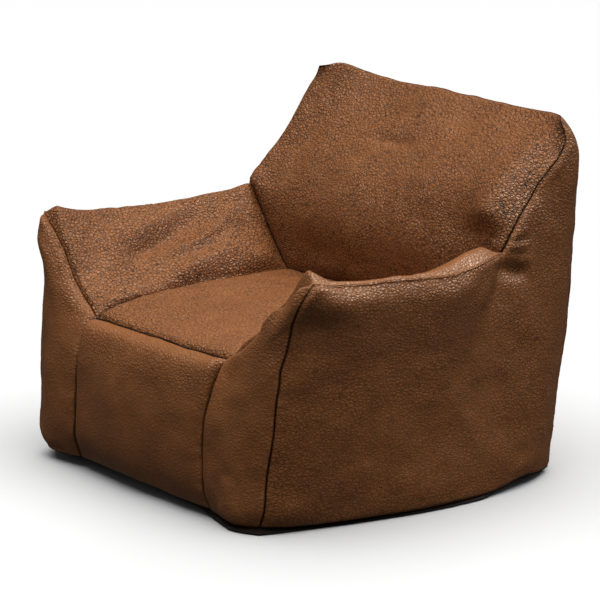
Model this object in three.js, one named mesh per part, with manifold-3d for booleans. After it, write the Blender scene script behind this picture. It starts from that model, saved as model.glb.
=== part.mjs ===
// Bean bag armchair: a sewn leatherette cover of twelve panels, a hidden zip low on the back,
// three inner baffles that hold the creases, and four bead bags (a liner, its zip and its fill).
// Millimetres, +Z up. The chair faces -Y. The origin is on the floor under the middle of the box.
import * as THREE from 'three';
import { mergeVertices } from 'three/addons/utils/BufferGeometryUtils.js';
import Module from 'manifold-3d';

const wasm = await Module();
wasm.setup();

// ---------------------------------------------------------------- driving dimensions
const SHIFT_Y = -31.67;           // puts the origin under the middle of the finished box
const LEATHER = 1.8;            // leatherette and its backing cloth
const SEAM_GAP = 0.4;           // each panel stops this short of the seam line
const MITRE_MAX = 2.2;          // longest mitre at a sharp seam, in thicknesses
const BAFFLE = 1.2;             // woven inner partition
const LINER_OUT = 3.2;          // liner's outer face, below the cover's outer face
const LINER_IN = 4.2;           // liner's inner face
const FILL_OUT = 4.7;           // bead fill's face
const BACK_BAFFLE_Y = 216;      // plane of the partition between back and seat
const ZIP_Y = 447;              // outer face of the rear panels at the zip
const ZIP_Z = 160;              // height of the zip above the floor
const ZIP_SLOT = 7;             // half width of the slot between the panels
const ZIP_HALF = 334;           // half length of the toothed part
const SLIDER_X = 322;           // slider's place when the zip is closed
const SLIDER_LEN = 16;

// the cover's corners on the +X side
const A = [490, -334, 547];     // arm tip
const S = [251, -369, 344];     // front corner of the seat
const F = [246, -420, 14];      // foot of the front seam
const O = [406, -410, 12];      // outer front corner of the base
const J = [450, 221, 538];      // where arm, back and side meet
const E = [432, 414, 797];      // top corner of the back
const B = [288, 205, 374];      // rear corner of the seat
const K = [430, 392, 14];       // rear corner of the base
const Z = [438, 402, 160];      // zip line on the rear side seam

// the seams on the +X side, through their control points
const SEAM = {
  AS: [A, [455, -346, 519], [427, -350, 491], [399, -353, 464], [374, -357, 434], [348, -359, 406], [317, -361, 383], [285, -364, 363], S],
  SF: [S, [250, -391, 328], [247, -413, 290], [246, -425, 255], [243, -431, 219], [241, -435, 175], [240, -438, 130], [243, -438, 80], F],
  AO: [A, [486, -362, 505], [472, -369, 470], [464, -370, 455], [454, -373, 406], [446, -382, 356], [441, -387, 305], [438, -394, 253], [434, -399, 202], [430, -403, 151], [427, -407, 101], [424, -410, 54], O],
  AJ: [A, [493, -256, 535], [497, -186, 530], [496, -115, 526], [498, -45, 522], [501, 24, 520], [496, 92, 525], [483, 157, 534], J],
  JE: [J, [455, 245, 577], [453, 271, 609], [449, 300, 638], [447, 328, 668], [449, 356, 699], [452, 383, 728], [449, 404, 760], E],
  SB: [S, [262, -300, 362], [272, -150, 372], [280, 50, 375], B],
  BJ: [B, [325, 208, 402], [365, 211, 447], [400, 214, 494], [425, 218, 517], J],
  EZ: [E, [439, 440, 765], [442, 450, 731], [443, 446, 640], [443, 440, 562], [443, 434, 447], [442, 424, 335], [440, 410, 220], Z],
  ZK: [Z, [434, 394, 80], K],
  OK: [O, [430, -345, 8], [461, -237, 7], [481, -143, 7], [497, -52, 7], [504, 50, 8], [500, 170, 9], [478, 295, 11], K],
  FO: [F, [300, -430, 11], [350, -436, 10], O],
};
// the seams that cross the middle, as their +X half from the middle outwards
const CROSS = {
  SS: [[0, -376, 344], [130, -375, 344], S],
  FF: [[0, -434, 16], [140, -431, 15], F],
  BB: [[0, 207, 374], [150, 207, 374], B],
  EE: [[0, 468, 796], [150, 468, 798], [300, 460, 804], [385, 442, 812], E],
  KK: [[0, 462, 12], [210, 458, 12], [345, 446, 13], K],
};
const ZIP_COLUMNS = [70, 210, 348];

// how many straight segments each seam has: opposite sides of a panel have equal counts
const N = { AS: 5, BJ: 5, SF: 6, AO: 6, FO: 5, SB: 6, AJ: 6, JE: 6, EZ: 4, ZK: 2, OK: 12, X: 7 };

// ---------------------------------------------------------------- curves and patches
const v3 = (p) => new THREE.Vector3(p[0], p[1] + SHIFT_Y, p[2]);
const mirror = (p) => new THREE.Vector3(-p.x, p.y, p.z);
const spaced = (points, n) => new THREE.CatmullRomCurve3(points, false, 'centripetal').getSpacedPoints(n);

const right = {};
for (const [name, pts] of Object.entries(SEAM)) right[name] = spaced(pts.map(v3), N[name]);
const left = {};
for (const name of Object.keys(right)) left[name] = right[name].map(mirror);
const cross = {};
for (const [name, pts] of Object.entries(CROSS)) {
  const half = pts.map(v3);
  cross[name] = spaced([...half.slice(1).reverse().map(mirror), ...half], N.X);
  const n = cross[name].length;
  for (let i = 0; i < n / 2; i++) cross[name][i] = mirror(cross[name][n - 1 - i]);
}
cross.ZZ = [];
for (const x of ZIP_COLUMNS) cross.ZZ.push(v3([x, ZIP_Y, ZIP_Z]));
cross.ZZ.push(right.EZ[N.EZ].clone());
cross.ZZ = [...cross.ZZ.slice().reverse().map(mirror), ...cross.ZZ];

// seams meet in exactly one point at each corner
const corner = {};
for (const [key, p] of Object.entries({ A, S, F, O, J, E, B, K, Z })) corner[key] = v3(p);
const ends = { AS: 'AS', SF: 'SF', AO: 'AO', AJ: 'AJ', JE: 'JE', SB: 'SB', BJ: 'BJ', EZ: 'EZ', ZK: 'ZK', OK: 'OK', FO: 'FO' };
for (const [name, e] of Object.entries(ends)) {
  for (const [set, f] of [[right, (p) => p.clone()], [left, mirror]]) {
    set[name][0] = f(corner[e[0]]);
    set[name][set[name].length - 1] = f(corner[e[1]]);
  }
}
for (const [name, key] of Object.entries({ SS: 'S', FF: 'F', BB: 'B', EE: 'E', KK: 'K', ZZ: 'Z' })) {
  cross[name][0] = mirror(corner[key]);
  cross[name][cross[name].length - 1] = corner[key].clone();
}
const rev = (a) => a.slice().reverse();
const join = (a, b) => [...a, ...b.slice(1)];

// a four-sided panel between its seams, pushed out along its own normal like a filled cushion
function patch(bottom, rightSide, top, leftSide, bulge, shape = 0.6) {
  const nu = bottom.length - 1;
  const nv = leftSide.length - 1;
  const P = [];
  for (let i = 0; i <= nu; i++) {
    P.push([]);
    for (let j = 0; j <= nv; j++) {
      const u = i / nu;
      const v = j / nv;
      const p = new THREE.Vector3()
        .addScaledVector(bottom[i], 1 - v).addScaledVector(top[i], v)
        .addScaledVector(leftSide[j], 1 - u).addScaledVector(rightSide[j], u)
        .addScaledVector(bottom[0], -(1 - u) * (1 - v)).addScaledVector(bottom[nu], -u * (1 - v))
        .addScaledVector(top[0], -(1 - u) * v).addScaledVector(top[nu], -u * v);
      if (i === 0) p.copy(leftSide[j]);
      if (i === nu) p.copy(rightSide[j]);
      if (j === 0) p.copy(bottom[i]);
      if (j === nv) p.copy(top[i]);
      P[i].push(p);
    }
  }
  const Q = P.map((row) => row.map((p) => p.clone()));
  for (let i = 1; i < nu; i++) {
    for (let j = 1; j < nv; j++) {
      const du = P[i + 1][j].clone().sub(P[i - 1][j]);
      const dv = P[i][j + 1].clone().sub(P[i][j - 1]);
      const n = du.cross(dv).normalize();
      const u = i / nu;
      const v = j / nv;
      const h = typeof bulge === 'function' ? bulge(u, v) : bulge * Math.pow(Math.sin(Math.PI * u) * Math.sin(Math.PI * v), shape);
      Q[i][j].addScaledVector(n, h);
    }
  }
  return Q;
}

const grids = {
  seat_panel: patch(cross.SS, right.SB, cross.BB, left.SB, 14),
  seat_front_panel: patch(cross.FF, rev(right.SF), cross.SS, rev(left.SF), 14),
  backrest_panel: patch(cross.BB, join(right.BJ, right.JE), cross.EE, join(left.BJ, left.JE), (u, v) => 46 * Math.pow(Math.sin(Math.PI * u), 0.6) * Math.pow(Math.sin(Math.PI * v), 0.8)),
  right_inner_arm_panel: patch(rev(right.SB), rev(right.AS), rev(right.AJ), right.BJ, 22),
  left_inner_arm_panel: patch(left.SB, left.BJ, left.AJ, rev(left.AS), 22),
  right_arm_front_panel: patch(right.FO, rev(right.AO), rev(right.AS), rev(right.SF), 10),
  left_arm_front_panel: patch(rev(left.FO), rev(left.SF), left.AS, rev(left.AO), 10),
  right_side_panel: patch(right.OK, rev(join(right.EZ, right.ZK)), join(right.AJ, right.JE), rev(right.AO), 10),
  left_side_panel: patch(rev(left.OK), rev(left.AO), rev(join(left.AJ, left.JE)), rev(join(left.EZ, left.ZK)), 10),
  rear_upper_panel: patch(rev(cross.ZZ), rev(left.EZ), rev(cross.EE), rev(right.EZ), 34),
  rear_lower_panel: patch(rev(cross.KK), rev(left.ZK), rev(cross.ZZ), rev(right.ZK), 8),
};

// ---------------------------------------------------------------- the base: flat, with an upturned rim
const rimLoop = join(join(join(join(cross.FF, right.FO), right.OK), rev(cross.KK)), join(rev(left.OK), rev(left.FO))).slice(0, -1);
const centre = new THREE.Vector3();
for (const p of rimLoop) centre.add(p);
centre.divideScalar(rimLoop.length);
const foot = rimLoop.map((p) => {
  const inward = centre.clone().sub(p).setZ(0);
  const length = inward.length();
  return new THREE.Vector3(p.x, p.y, 0).addScaledVector(inward, 26 / length).setZ(0);
});
const flatTriangles = THREE.ShapeUtils.triangulateShape(foot.map((p) => new THREE.Vector2(p.x, p.y)), []);

// ---------------------------------------------------------------- the whole outer surface, to find the mitres
const key = (p) => `${p.x.toFixed(3)},${p.y.toFixed(3)},${p.z.toFixed(3)}`;
const whole = { points: [], index: new Map(), faces: [] };
function idOf(p) {
  const k = key(p);
  if (!whole.index.has(k)) {
    whole.index.set(k, whole.points.length);
    whole.points.push(p.clone());
  }
  return whole.index.get(k);
}
const face = (a, b, c) => {
  const f = [idOf(a), idOf(b), idOf(c)];
  if (f[0] !== f[1] && f[1] !== f[2] && f[0] !== f[2]) whole.faces.push(f);
};
// the two triangles of a quad a-b-c-d; the -X half is cut along the other diagonal, so both halves mirror
const split = (a, b, c, d, rightHand) => (rightHand ? [[a, b, c], [a, c, d]] : [[a, b, d], [b, c, d]]);
const rightHand = (grid, i) => grid[i][0].x + grid[i + 1][0].x + grid[i][grid[0].length - 1].x + grid[i + 1][grid[0].length - 1].x > -1;
for (const g of Object.values(grids)) {
  for (let i = 0; i < g.length - 1; i++) {
    for (let j = 0; j < g[0].length - 1; j++) {
      for (const t of split(g[i][j], g[i + 1][j], g[i + 1][j + 1], g[i][j + 1], rightHand(g, i))) face(...t);
    }
  }
}
const baseFaces = [];
for (let i = 0; i < rimLoop.length; i++) {
  const n = (i + 1) % rimLoop.length;
  baseFaces.push(...split(rimLoop[n], rimLoop[i], foot[i], foot[n], rimLoop[i].x + rimLoop[n].x > -1));
}
for (const t of flatTriangles) {
  const [a, b, c] = t.map((i) => foot[i]);
  const up = b.clone().sub(a).cross(c.clone().sub(a)).z > 0;
  baseFaces.push(up ? [a, c, b] : [a, b, c]);
}
for (const f of baseFaces) face(...f);

// the inward move of each point that keeps every panel beside it one thickness thick
const gathered = whole.points.map(() => []);
for (const f of whole.faces) {
  const p = f.map((i) => whole.points[i]);
  const n = p[1].clone().sub(p[0]).cross(p[2].clone().sub(p[0])).normalize();
  for (let k = 0; k < 3; k++) {
    const a = p[(k + 1) % 3].clone().sub(p[k]).normalize();
    const b = p[(k + 2) % 3].clone().sub(p[k]).normalize();
    gathered[f[k]].push([n, Math.acos(Math.min(1, Math.max(-1, a.dot(b))))]);
  }
}
const inwardAt = gathered.map((list) => {
  const m = new THREE.Matrix3().set(0, 0, 0, 0, 0, 0, 0, 0, 0);
  const e = m.elements;
  const r = new THREE.Vector3();
  let total = 0;
  for (const [n, w] of list) {
    const c = [n.x, n.y, n.z];
    for (let a = 0; a < 3; a++) for (let b = 0; b < 3; b++) e[a * 3 + b] += w * c[a] * c[b];
    r.addScaledVector(n, w);
    total += w;
  }
  const mean = r.clone().normalize();
  for (let a = 0; a < 3; a++) e[a * 3 + a] += total * 0.02;
  r.addScaledVector(mean, total * 0.02);
  const v = r.clone().applyMatrix3(m.clone().invert());
  if (v.length() > MITRE_MAX) v.setLength(MITRE_MAX);
  return v.negate();
});
const inward = (p) => inwardAt[whole.index.get(key(p))];

// ---------------------------------------------------------------- solids
function geometryOf(points, triangles) {
  const g = new THREE.BufferGeometry();
  const flat = new Float32Array(points.length * 3);
  points.forEach((p, i) => flat.set([p.x, p.y, p.z], i * 3));
  g.setAttribute('position', new THREE.BufferAttribute(flat, 3));
  g.setIndex(triangles.flat());
  return g;
}

// a sewn panel: its outer face, its inner face one thickness in, and its cut edge
function panelGeometry(grid, shift) {
  const nu = grid.length - 1;
  const nv = grid[0].length - 1;
  const points = [];
  const at = (i, j, side) => (side * (nu + 1) + i) * (nv + 1) + j;
  for (let side = 0; side < 2; side++) {
    for (let i = 0; i <= nu; i++) {
      for (let j = 0; j <= nv; j++) {
        const p = grid[i][j].clone();
        const q = p.clone().addScaledVector(inward(grid[i][j]), side ? LEATHER : 0);
        const inset = new THREE.Vector3();
        const step = (i2, j2, t1, t2) => {
          const d = grid[i2][j2].clone().sub(grid[i][j]);
          const t = t2.clone().sub(t1).normalize();
          d.addScaledVector(t, -d.dot(t)).normalize();
          inset.addScaledVector(d, SEAM_GAP);
        };
        const ja = Math.max(0, j - 1);
        const jb = Math.min(nv, j + 1);
        const ia = Math.max(0, i - 1);
        const ib = Math.min(nu, i + 1);
        if (i === 0) step(1, j, grid[0][ja], grid[0][jb]);
        if (i === nu) step(nu - 1, j, grid[nu][ja], grid[nu][jb]);
        if (j === 0) step(i, 1, grid[ia][0], grid[ib][0]);
        if (j === nv) step(i, nv - 1, grid[ia][nv], grid[ib][nv]);
        q.add(inset);
        if (shift) q.add(shift(i, j, nu, nv));
        points.push(q);
      }
    }
  }
  const tri = [];
  for (let i = 0; i < nu; i++) {
    for (let j = 0; j < nv; j++) {
      const hand = rightHand(grid, i);
      tri.push(...split(at(i, j, 0), at(i + 1, j, 0), at(i + 1, j + 1, 0), at(i, j + 1, 0), hand));
      for (const [a, b, c] of split(at(i, j, 1), at(i + 1, j, 1), at(i + 1, j + 1, 1), at(i, j + 1, 1), hand)) tri.push([a, c, b]);
    }
  }
  const wall = (a, b, c, d) => tri.push([a, c, b], [b, c, d]);
  for (let i = 0; i < nu; i++) {
    wall(at(i, 0, 0), at(i + 1, 0, 0), at(i, 0, 1), at(i + 1, 0, 1));
    wall(at(i + 1, nv, 0), at(i, nv, 0), at(i + 1, nv, 1), at(i, nv, 1));
  }
  for (let j = 0; j < nv; j++) {
    wall(at(0, j + 1, 0), at(0, j, 0), at(0, j + 1, 1), at(0, j, 1));
    wall(at(nu, j, 0), at(nu, j + 1, 0), at(nu, j, 1), at(nu, j + 1, 1));
  }
  return geometryOf(points, tri);
}

// the base panel, cut a little short of the rim seam
function baseGeometry() {
  const n = rimLoop.length;
  const points = [];
  const outerRim = rimLoop.map((p, i) => p.clone().lerp(foot[i], SEAM_GAP / p.distanceTo(foot[i])));
  for (const p of outerRim) points.push(p);
  for (const p of foot) points.push(p.clone());
  rimLoop.forEach((p, i) => points.push(outerRim[i].clone().addScaledVector(inward(p), LEATHER)));
  for (const p of foot) points.push(p.clone().setZ(LEATHER));
  const tri = [];
  for (let i = 0; i < n; i++) {
    const k = (i + 1) % n;
    const hand = rimLoop[i].x + rimLoop[k].x > -1;
    tri.push(...split(k, i, n + i, n + k, hand));
    for (const [a, b, c] of split(2 * n + k, 2 * n + i, 3 * n + i, 3 * n + k, hand)) tri.push([a, c, b]);
    tri.push([i, k, 2 * n + i], [k, 2 * n + k, 2 * n + i]);
  }
  for (const t of flatTriangles) {
    const [a, b, c] = t;
    const up = foot[b].clone().sub(foot[a]).cross(foot[c].clone().sub(foot[a])).z > 0;
    const [x, y, z] = up ? [a, c, b] : [a, b, c];
    tri.push([n + x, n + y, n + z], [3 * n + x, 3 * n + z, 3 * n + y]);
  }
  return geometryOf(points, tri);
}

function toManifold(geometry) {
  const g = geometry.clone();
  g.deleteAttribute('normal');
  g.deleteAttribute('uv');
  const m = mergeVertices(g, 1e-4);
  const mesh = new wasm.Mesh({ numProp: 3, vertProperties: new Float32Array(m.attributes.position.array), triVerts: new Uint32Array(m.index.array) });
  return new wasm.Manifold(mesh);
}
function fromManifold(solid) {
  const m = solid.getMesh();
  const g = new THREE.BufferGeometry();
  g.setAttribute('position', new THREE.BufferAttribute(new Float32Array(m.vertProperties), 3));
  g.setIndex(Array.from(m.triVerts));
  return g;
}
const boxAt = (x0, x1, y0, y1, z0, z1) => new THREE.BoxGeometry(x1 - x0, y1 - y0, z1 - z0).translate((x0 + x1) / 2, (y0 + y1) / 2, (z0 + z1) / 2);
const box = (...a) => toManifold(boxAt(...a));
function prism(outline, y0, y1) {           // outline in X and Z, drawn out along Y
  const shape = new THREE.Shape(outline.map(([x, z]) => new THREE.Vector2(x, z)));
  const g = new THREE.ExtrudeGeometry(shape, { depth: y1 - y0, bevelEnabled: false });
  return g.rotateX(Math.PI / 2).translate(0, y1, 0);
}
function column(outline, z0, z1) {          // outline in X and Y, drawn out along Z
  const shape = new THREE.Shape(outline.map(([x, y]) => new THREE.Vector2(x, y)));
  return new THREE.ExtrudeGeometry(shape, { depth: z1 - z0, bevelEnabled: false }).translate(0, 0, z0);
}

// the space inside the cover, a given depth below its outer face
function inside(depth) {
  const points = whole.points.map((p, i) => p.clone().addScaledVector(inwardAt[i], depth));
  return toManifold(geometryOf(points, whole.faces));
}

// ---------------------------------------------------------------- chambers
const backY = BACK_BAFFLE_Y + SHIFT_Y;
const s0 = v3(S);
const b0 = v3(B);
const armX = (y) => s0.x + ((b0.x - s0.x) * (y - s0.y)) / (b0.y - s0.y);
const FAR = 700;
const gapLine = (gap, sign) => [[armX(-FAR) + gap * sign, -FAR], [armX(backY) + gap * sign, backY]];
function slice(outline, x0, x1) {           // outline in Y and Z, drawn out along X
  const shape = new THREE.Shape(outline.map(([y, z]) => new THREE.Vector2(y, z)));
  const g = new THREE.ExtrudeGeometry(shape, { depth: x1 - x0, bevelEnabled: false });
  return g.applyMatrix4(new THREE.Matrix4().set(0, 0, 1, x0, 1, 0, 0, 0, 0, 1, 0, 0, 0, 0, 0, 1));
}
// above the crease the back swells forward over the partition, so the two bags part along a 45 degree line
function seatRegion(gap) {
  const [p, q] = gapLine(gap, -1);
  const yb = backY - gap;
  const plan = toManifold(column([[-p[0], p[1]], [p[0], p[1]], [q[0], yb], [-q[0], yb]], -10, FAR));
  const z = b0.z - 1.5 * gap;
  return plan.intersect(toManifold(slice([[-FAR, -10], [b0.y + 40, -10], [b0.y + 40, z - 40], [-FAR, z + b0.y + FAR]], -FAR, FAR)));
}
function armRegion(gap) {
  const [p, q] = gapLine(gap, 1);
  const yb = backY - gap;
  return toManifold(column([[p[0], p[1]], [FAR, -FAR], [FAR, yb], [q[0], yb]], -10, FAR + 200));
}
function backRegion(gap) {
  const z = b0.z + 1 + gap;
  const swell = slice([[backY + gap + 1, z], [b0.y, z], [b0.y - 60, z + 60], [b0.y - 60, z + 260], [backY + gap + 1, z + 260]], -275 + gap, 275 - gap);
  return box(-FAR, FAR, backY + gap, FAR + 300, -10, FAR + 300).add(toManifold(swell));
}
const mirrored = (solid) => solid.mirror([1, 0, 0]);
const zipPocket = (extra) => box(-352 - extra, 352 + extra, ZIP_Y + SHIFT_Y - 9 - extra, FAR, ZIP_Z - 22 - extra, ZIP_Z + 22 + extra);

const outerSkin = inside(LINER_OUT);
const innerSkin = inside(LINER_IN);
const fillSkin = inside(FILL_OUT);
const G0 = BAFFLE / 2 + 1.0;
const chambers = {
  seat: [seatRegion(G0), seatRegion(G0 + 1), seatRegion(G0 + 1.5)],
  back: [backRegion(G0), backRegion(G0 + 1), backRegion(G0 + 1.5)],
  right_arm: [armRegion(G0), armRegion(G0 + 1), armRegion(G0 + 1.5)],
};
// each liner's own short zip lies in a slit in the flat wall that faces the back partition
const slits = {
  seat: { x: [-150, 150], z: [186, 196], y: backY - G0 - 1 },
  back: { x: [-150, 150], z: [226, 236], y: backY + G0 },
  right_arm: { x: [340, 430], z: [186, 196], y: backY - G0 - 1 },
};
const inner = {};
for (const name of ['seat', 'back', 'right_arm']) {
  let [o, i, f] = chambers[name];
  o = outerSkin.intersect(o);
  i = innerSkin.intersect(i);
  f = fillSkin.intersect(f);
  if (name === 'back') {
    o = o.subtract(zipPocket(0));
    i = i.subtract(zipPocket(1));
    f = f.subtract(zipPocket(1.5));
  }
  const s = slits[name];
  const slit = box(s.x[0], s.x[1], s.y - 1, s.y + 2, s.z[0], s.z[1]);
  inner[`${name}_liner`] = o.subtract(i).subtract(slit);
  inner[`${name}_fill`] = f;
  inner[`${name}_liner_zip`] = box(s.x[0] + 0.3, s.x[1] - 0.3, s.y, s.y + 1, s.z[0] + 0.3, s.z[1] - 0.3);
}
for (const part of ['liner', 'fill', 'liner_zip']) inner[`left_arm_${part}`] = mirrored(inner[`right_arm_${part}`]);

// ---------------------------------------------------------------- baffles
const baffleSkin = inside(LEATHER + 0.6);
// its upper edge follows the crease: level behind the seat, rising behind each arm
const rise = [[0, 372], [286, 372], [323, 399], [363, 444], [398, 491], [423, 513], [447, 532], [560, 540]];
const backOutline = [[-560, -10], [560, -10], ...rise.slice().reverse(), ...rise.slice(1).map(([x, z]) => [-x, z])];
inner.back_baffle = baffleSkin.intersect(toManifold(prism(backOutline, backY - BAFFLE / 2, backY + BAFFLE / 2)));
{
  const half = BAFFLE / 2;
  const yb = backY - half - 0.4;
  const slab = column([[armX(-FAR) - half, -FAR], [armX(-FAR) + half, -FAR], [armX(yb) + half, yb], [armX(yb) - half, yb]], -10, 369);
  inner.right_arm_baffle = baffleSkin.intersect(toManifold(slab));
  inner.left_arm_baffle = mirrored(inner.right_arm_baffle);
}

// ---------------------------------------------------------------- zip
const zy = ZIP_Y + SHIFT_Y;
const tape = (sign) => {
  const a = ZIP_Z + sign * 0.9;
  const b = ZIP_Z + sign * 18;
  return boxAt(-342, 342, zy - 3.2, zy - 2.4, Math.min(a, b), Math.max(a, b));
};
const coil = (sign) => {
  const profile = [];
  for (let k = 0; k <= 6; k++) {
    const t = (Math.PI * k) / 6;
    profile.push([2.2 + 1.25 * Math.cos(t), 1.7 * Math.sin(t)]);
  }
  const shape = new THREE.Shape(profile.map(([z, y]) => new THREE.Vector2(z, y)));
  const g = new THREE.ExtrudeGeometry(shape, { depth: 2 * ZIP_HALF, bevelEnabled: false });
  // shape X goes to Z, shape Y to Y, the extrusion to X
  const m = new THREE.Matrix4().set(0, 0, 1, -ZIP_HALF, 0, 1, 0, zy - 2.1, 1, 0, 0, ZIP_Z, 0, 0, 0, 1);
  g.applyMatrix4(m);
  if (m.determinant() < 0) flip(g);
  if (sign < 0) {
    g.applyMatrix4(new THREE.Matrix4().set(1, 0, 0, 0, 0, 1, 0, 0, 0, 0, -1, 2 * ZIP_Z, 0, 0, 0, 1));
    flip(g);
  }
  return g;
};
function flip(g) {
  if (g.index) {
    const a = g.index.array;
    for (let i = 0; i < a.length; i += 3) [a[i], a[i + 1]] = [a[i + 1], a[i]];
  } else {
    const a = g.attributes.position.array;
    for (let i = 0; i < a.length; i += 9) for (let k = 0; k < 3; k++) [a[i + k], a[i + 3 + k]] = [a[i + 3 + k], a[i + k]];
  }
  return g;
}
function slider() {
  const x0 = SLIDER_X - SLIDER_LEN / 2;
  const x1 = SLIDER_X + SLIDER_LEN / 2;
  const b = (xa, xb, ya, yb, za, zb) => box(xa, xb, zy + ya, zy + yb, ZIP_Z + za, ZIP_Z + zb);
  let s = b(x0, x1, 0.6, 2.0, -5.5, 5.5);
  s = s.add(b(x0, x1, -5.6, -4.2, -5.5, 5.5));
  s = s.add(b(x0 + 3, x1 - 3, -4.4, 0.8, -0.5, 0.5));
  s = s.add(b(x0, x1, -1.6, 0.8, 4.3, 5.5)).add(b(x0, x1, -1.6, 0.8, -5.5, -4.3));
  s = s.add(b(SLIDER_X - 5, SLIDER_X - 3.4, 1.8, 5.6, -1, 1)).add(b(SLIDER_X + 3.4, SLIDER_X + 5, 1.8, 5.6, -1, 1));
  s = s.add(b(SLIDER_X - 5, SLIDER_X + 5, 4.6, 5.6, -1, 1));
  return fromManifold(s);
}
const PULL_Y = 3.3;   // hinge bar of the pull, above the rear panels' face
function pull() {
  const b = (xa, xb, za, zb) => box(SLIDER_X + xa, SLIDER_X + xb, zy + PULL_Y - 0.6, zy + PULL_Y + 0.6, ZIP_Z + za, ZIP_Z + zb);
  let p = b(-0.6, 0.6, -4.4, 4.4);
  p = p.add(b(-11, 0.6, 3.2, 4.4)).add(b(-11, 0.6, -4.4, -3.2));
  p = p.add(b(-34, -10, -4.4, 4.4));
  p = p.subtract(b(-31, -25, -1.6, 1.6));
  return fromManifold(p);
}
const stop = (x) => boxAt(x - 2, x + 2, zy - 2.1, zy - 0.2, ZIP_Z - 3.4, ZIP_Z + 3.4);

// ---------------------------------------------------------------- the assembly
const leather = (c) => new THREE.MeshStandardMaterial({ color: c, roughness: 0.5, metalness: 0 });
const cloth = (c) => new THREE.MeshStandardMaterial({ color: c, roughness: 0.9, metalness: 0 });
const metal = () => new THREE.MeshStandardMaterial({ color: 0x8a8a86, roughness: 0.3, metalness: 1 });
const chair = new THREE.Group();
function add(name, geometry, material, parent = chair) {
  const mesh = new THREE.Mesh(geometry, material);
  mesh.name = name;
  parent.add(mesh);
}

const cover = new THREE.Group();
chair.add(cover);
// the rear panels are cut back along their own surface to leave the slot for the zip
const slotShift = (up) => (i, j, nu, nv) => {
  const onLine = up ? j === 0 : j === nv;
  if (!onLine || i === 0 || i === nu) return new THREE.Vector3();
  const grid = up ? grids.rear_upper_panel : grids.rear_lower_panel;
  return grid[i][up ? 1 : nv - 1].clone().sub(grid[i][j]).setLength(ZIP_SLOT);
};
const tones = { seat_panel: 0x7a4526, backrest_panel: 0x784325, right_inner_arm_panel: 0x744124, left_inner_arm_panel: 0x744124 };
for (const [name, grid] of Object.entries(grids)) {
  const shift = name === 'rear_upper_panel' ? slotShift(true) : name === 'rear_lower_panel' ? slotShift(false) : null;
  add(name, panelGeometry(grid, shift), leather(tones[name] ?? 0x6b3c22), cover);
}
add('base_panel', baseGeometry(), cloth(0x1d1714), cover);

const zip = new THREE.Group();
chair.add(zip);
add('zip_tape_upper', tape(1), cloth(0x2b1a12), zip);
add('zip_tape_lower', tape(-1), cloth(0x2b1a12), zip);
add('zip_coil_upper', coil(1), new THREE.MeshStandardMaterial({ color: 0x2a1c15, roughness: 0.35, metalness: 0 }), zip);
add('zip_coil_lower', coil(-1), new THREE.MeshStandardMaterial({ color: 0x2a1c15, roughness: 0.35, metalness: 0 }), zip);
add('zip_closed_end_stop', stop(340), metal(), zip);
add('zip_open_end_stop', stop(-340), metal(), zip);
add('zip_slider', slider(), metal(), zip);
add('zip_pull', pull(), metal(), zip);

for (const name of ['back_baffle', 'left_arm_baffle', 'right_arm_baffle']) add(name, fromManifold(inner[name]), cloth(0x3a332d));
for (const chamber of ['seat', 'back', 'left_arm', 'right_arm']) {
  const bag = new THREE.Group();
  chair.add(bag);
  add(`${chamber}_liner`, fromManifold(inner[`${chamber}_liner`]), cloth(0xd9d6cf), bag);
  add(`${chamber}_liner_zip`, fromManifold(inner[`${chamber}_liner_zip`]), cloth(0xf0eee8), bag);
  add(`${chamber}_fill`, fromManifold(inner[`${chamber}_fill`]), new THREE.MeshStandardMaterial({ color: 0xf4f3ef, roughness: 0.95, metalness: 0 }), bag);
}

export default chair;
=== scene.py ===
"""Bean bag armchair in pebbled brown leatherette: the sewn cover, its hidden zip, the inner partitions and the bead bags.
Every shape below is made by this script from the chair's own dimensions."""
import math
import bpy
import numpy as np
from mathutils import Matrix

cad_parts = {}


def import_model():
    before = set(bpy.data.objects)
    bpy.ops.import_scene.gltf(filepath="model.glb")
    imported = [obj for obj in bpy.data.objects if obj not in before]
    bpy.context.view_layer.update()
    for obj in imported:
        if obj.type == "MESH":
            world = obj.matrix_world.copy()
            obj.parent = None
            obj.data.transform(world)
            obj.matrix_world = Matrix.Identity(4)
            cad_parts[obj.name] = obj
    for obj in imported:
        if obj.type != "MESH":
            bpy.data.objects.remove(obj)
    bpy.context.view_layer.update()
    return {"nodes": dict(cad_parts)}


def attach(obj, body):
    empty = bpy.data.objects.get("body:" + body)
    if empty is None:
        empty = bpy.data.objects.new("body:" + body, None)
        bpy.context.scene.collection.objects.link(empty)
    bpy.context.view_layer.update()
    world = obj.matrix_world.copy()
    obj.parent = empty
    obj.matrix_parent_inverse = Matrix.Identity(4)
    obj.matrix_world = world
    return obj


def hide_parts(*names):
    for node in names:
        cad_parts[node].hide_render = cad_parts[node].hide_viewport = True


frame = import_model()

# ---------------------------------------------------------------- numbers (millimetres)
SY = -31.67                      # the seam points below were laid out before the box was centred
LEATHER = 1.7
CELL = 6.5                       # mesh step in the middle of a panel
ROWS = [0.9, 2.0, 3.4, 5.2, 7.4, 10.2, 13.6, 17.8, 22.8, 28.6]   # mesh rows beside a seam

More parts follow.
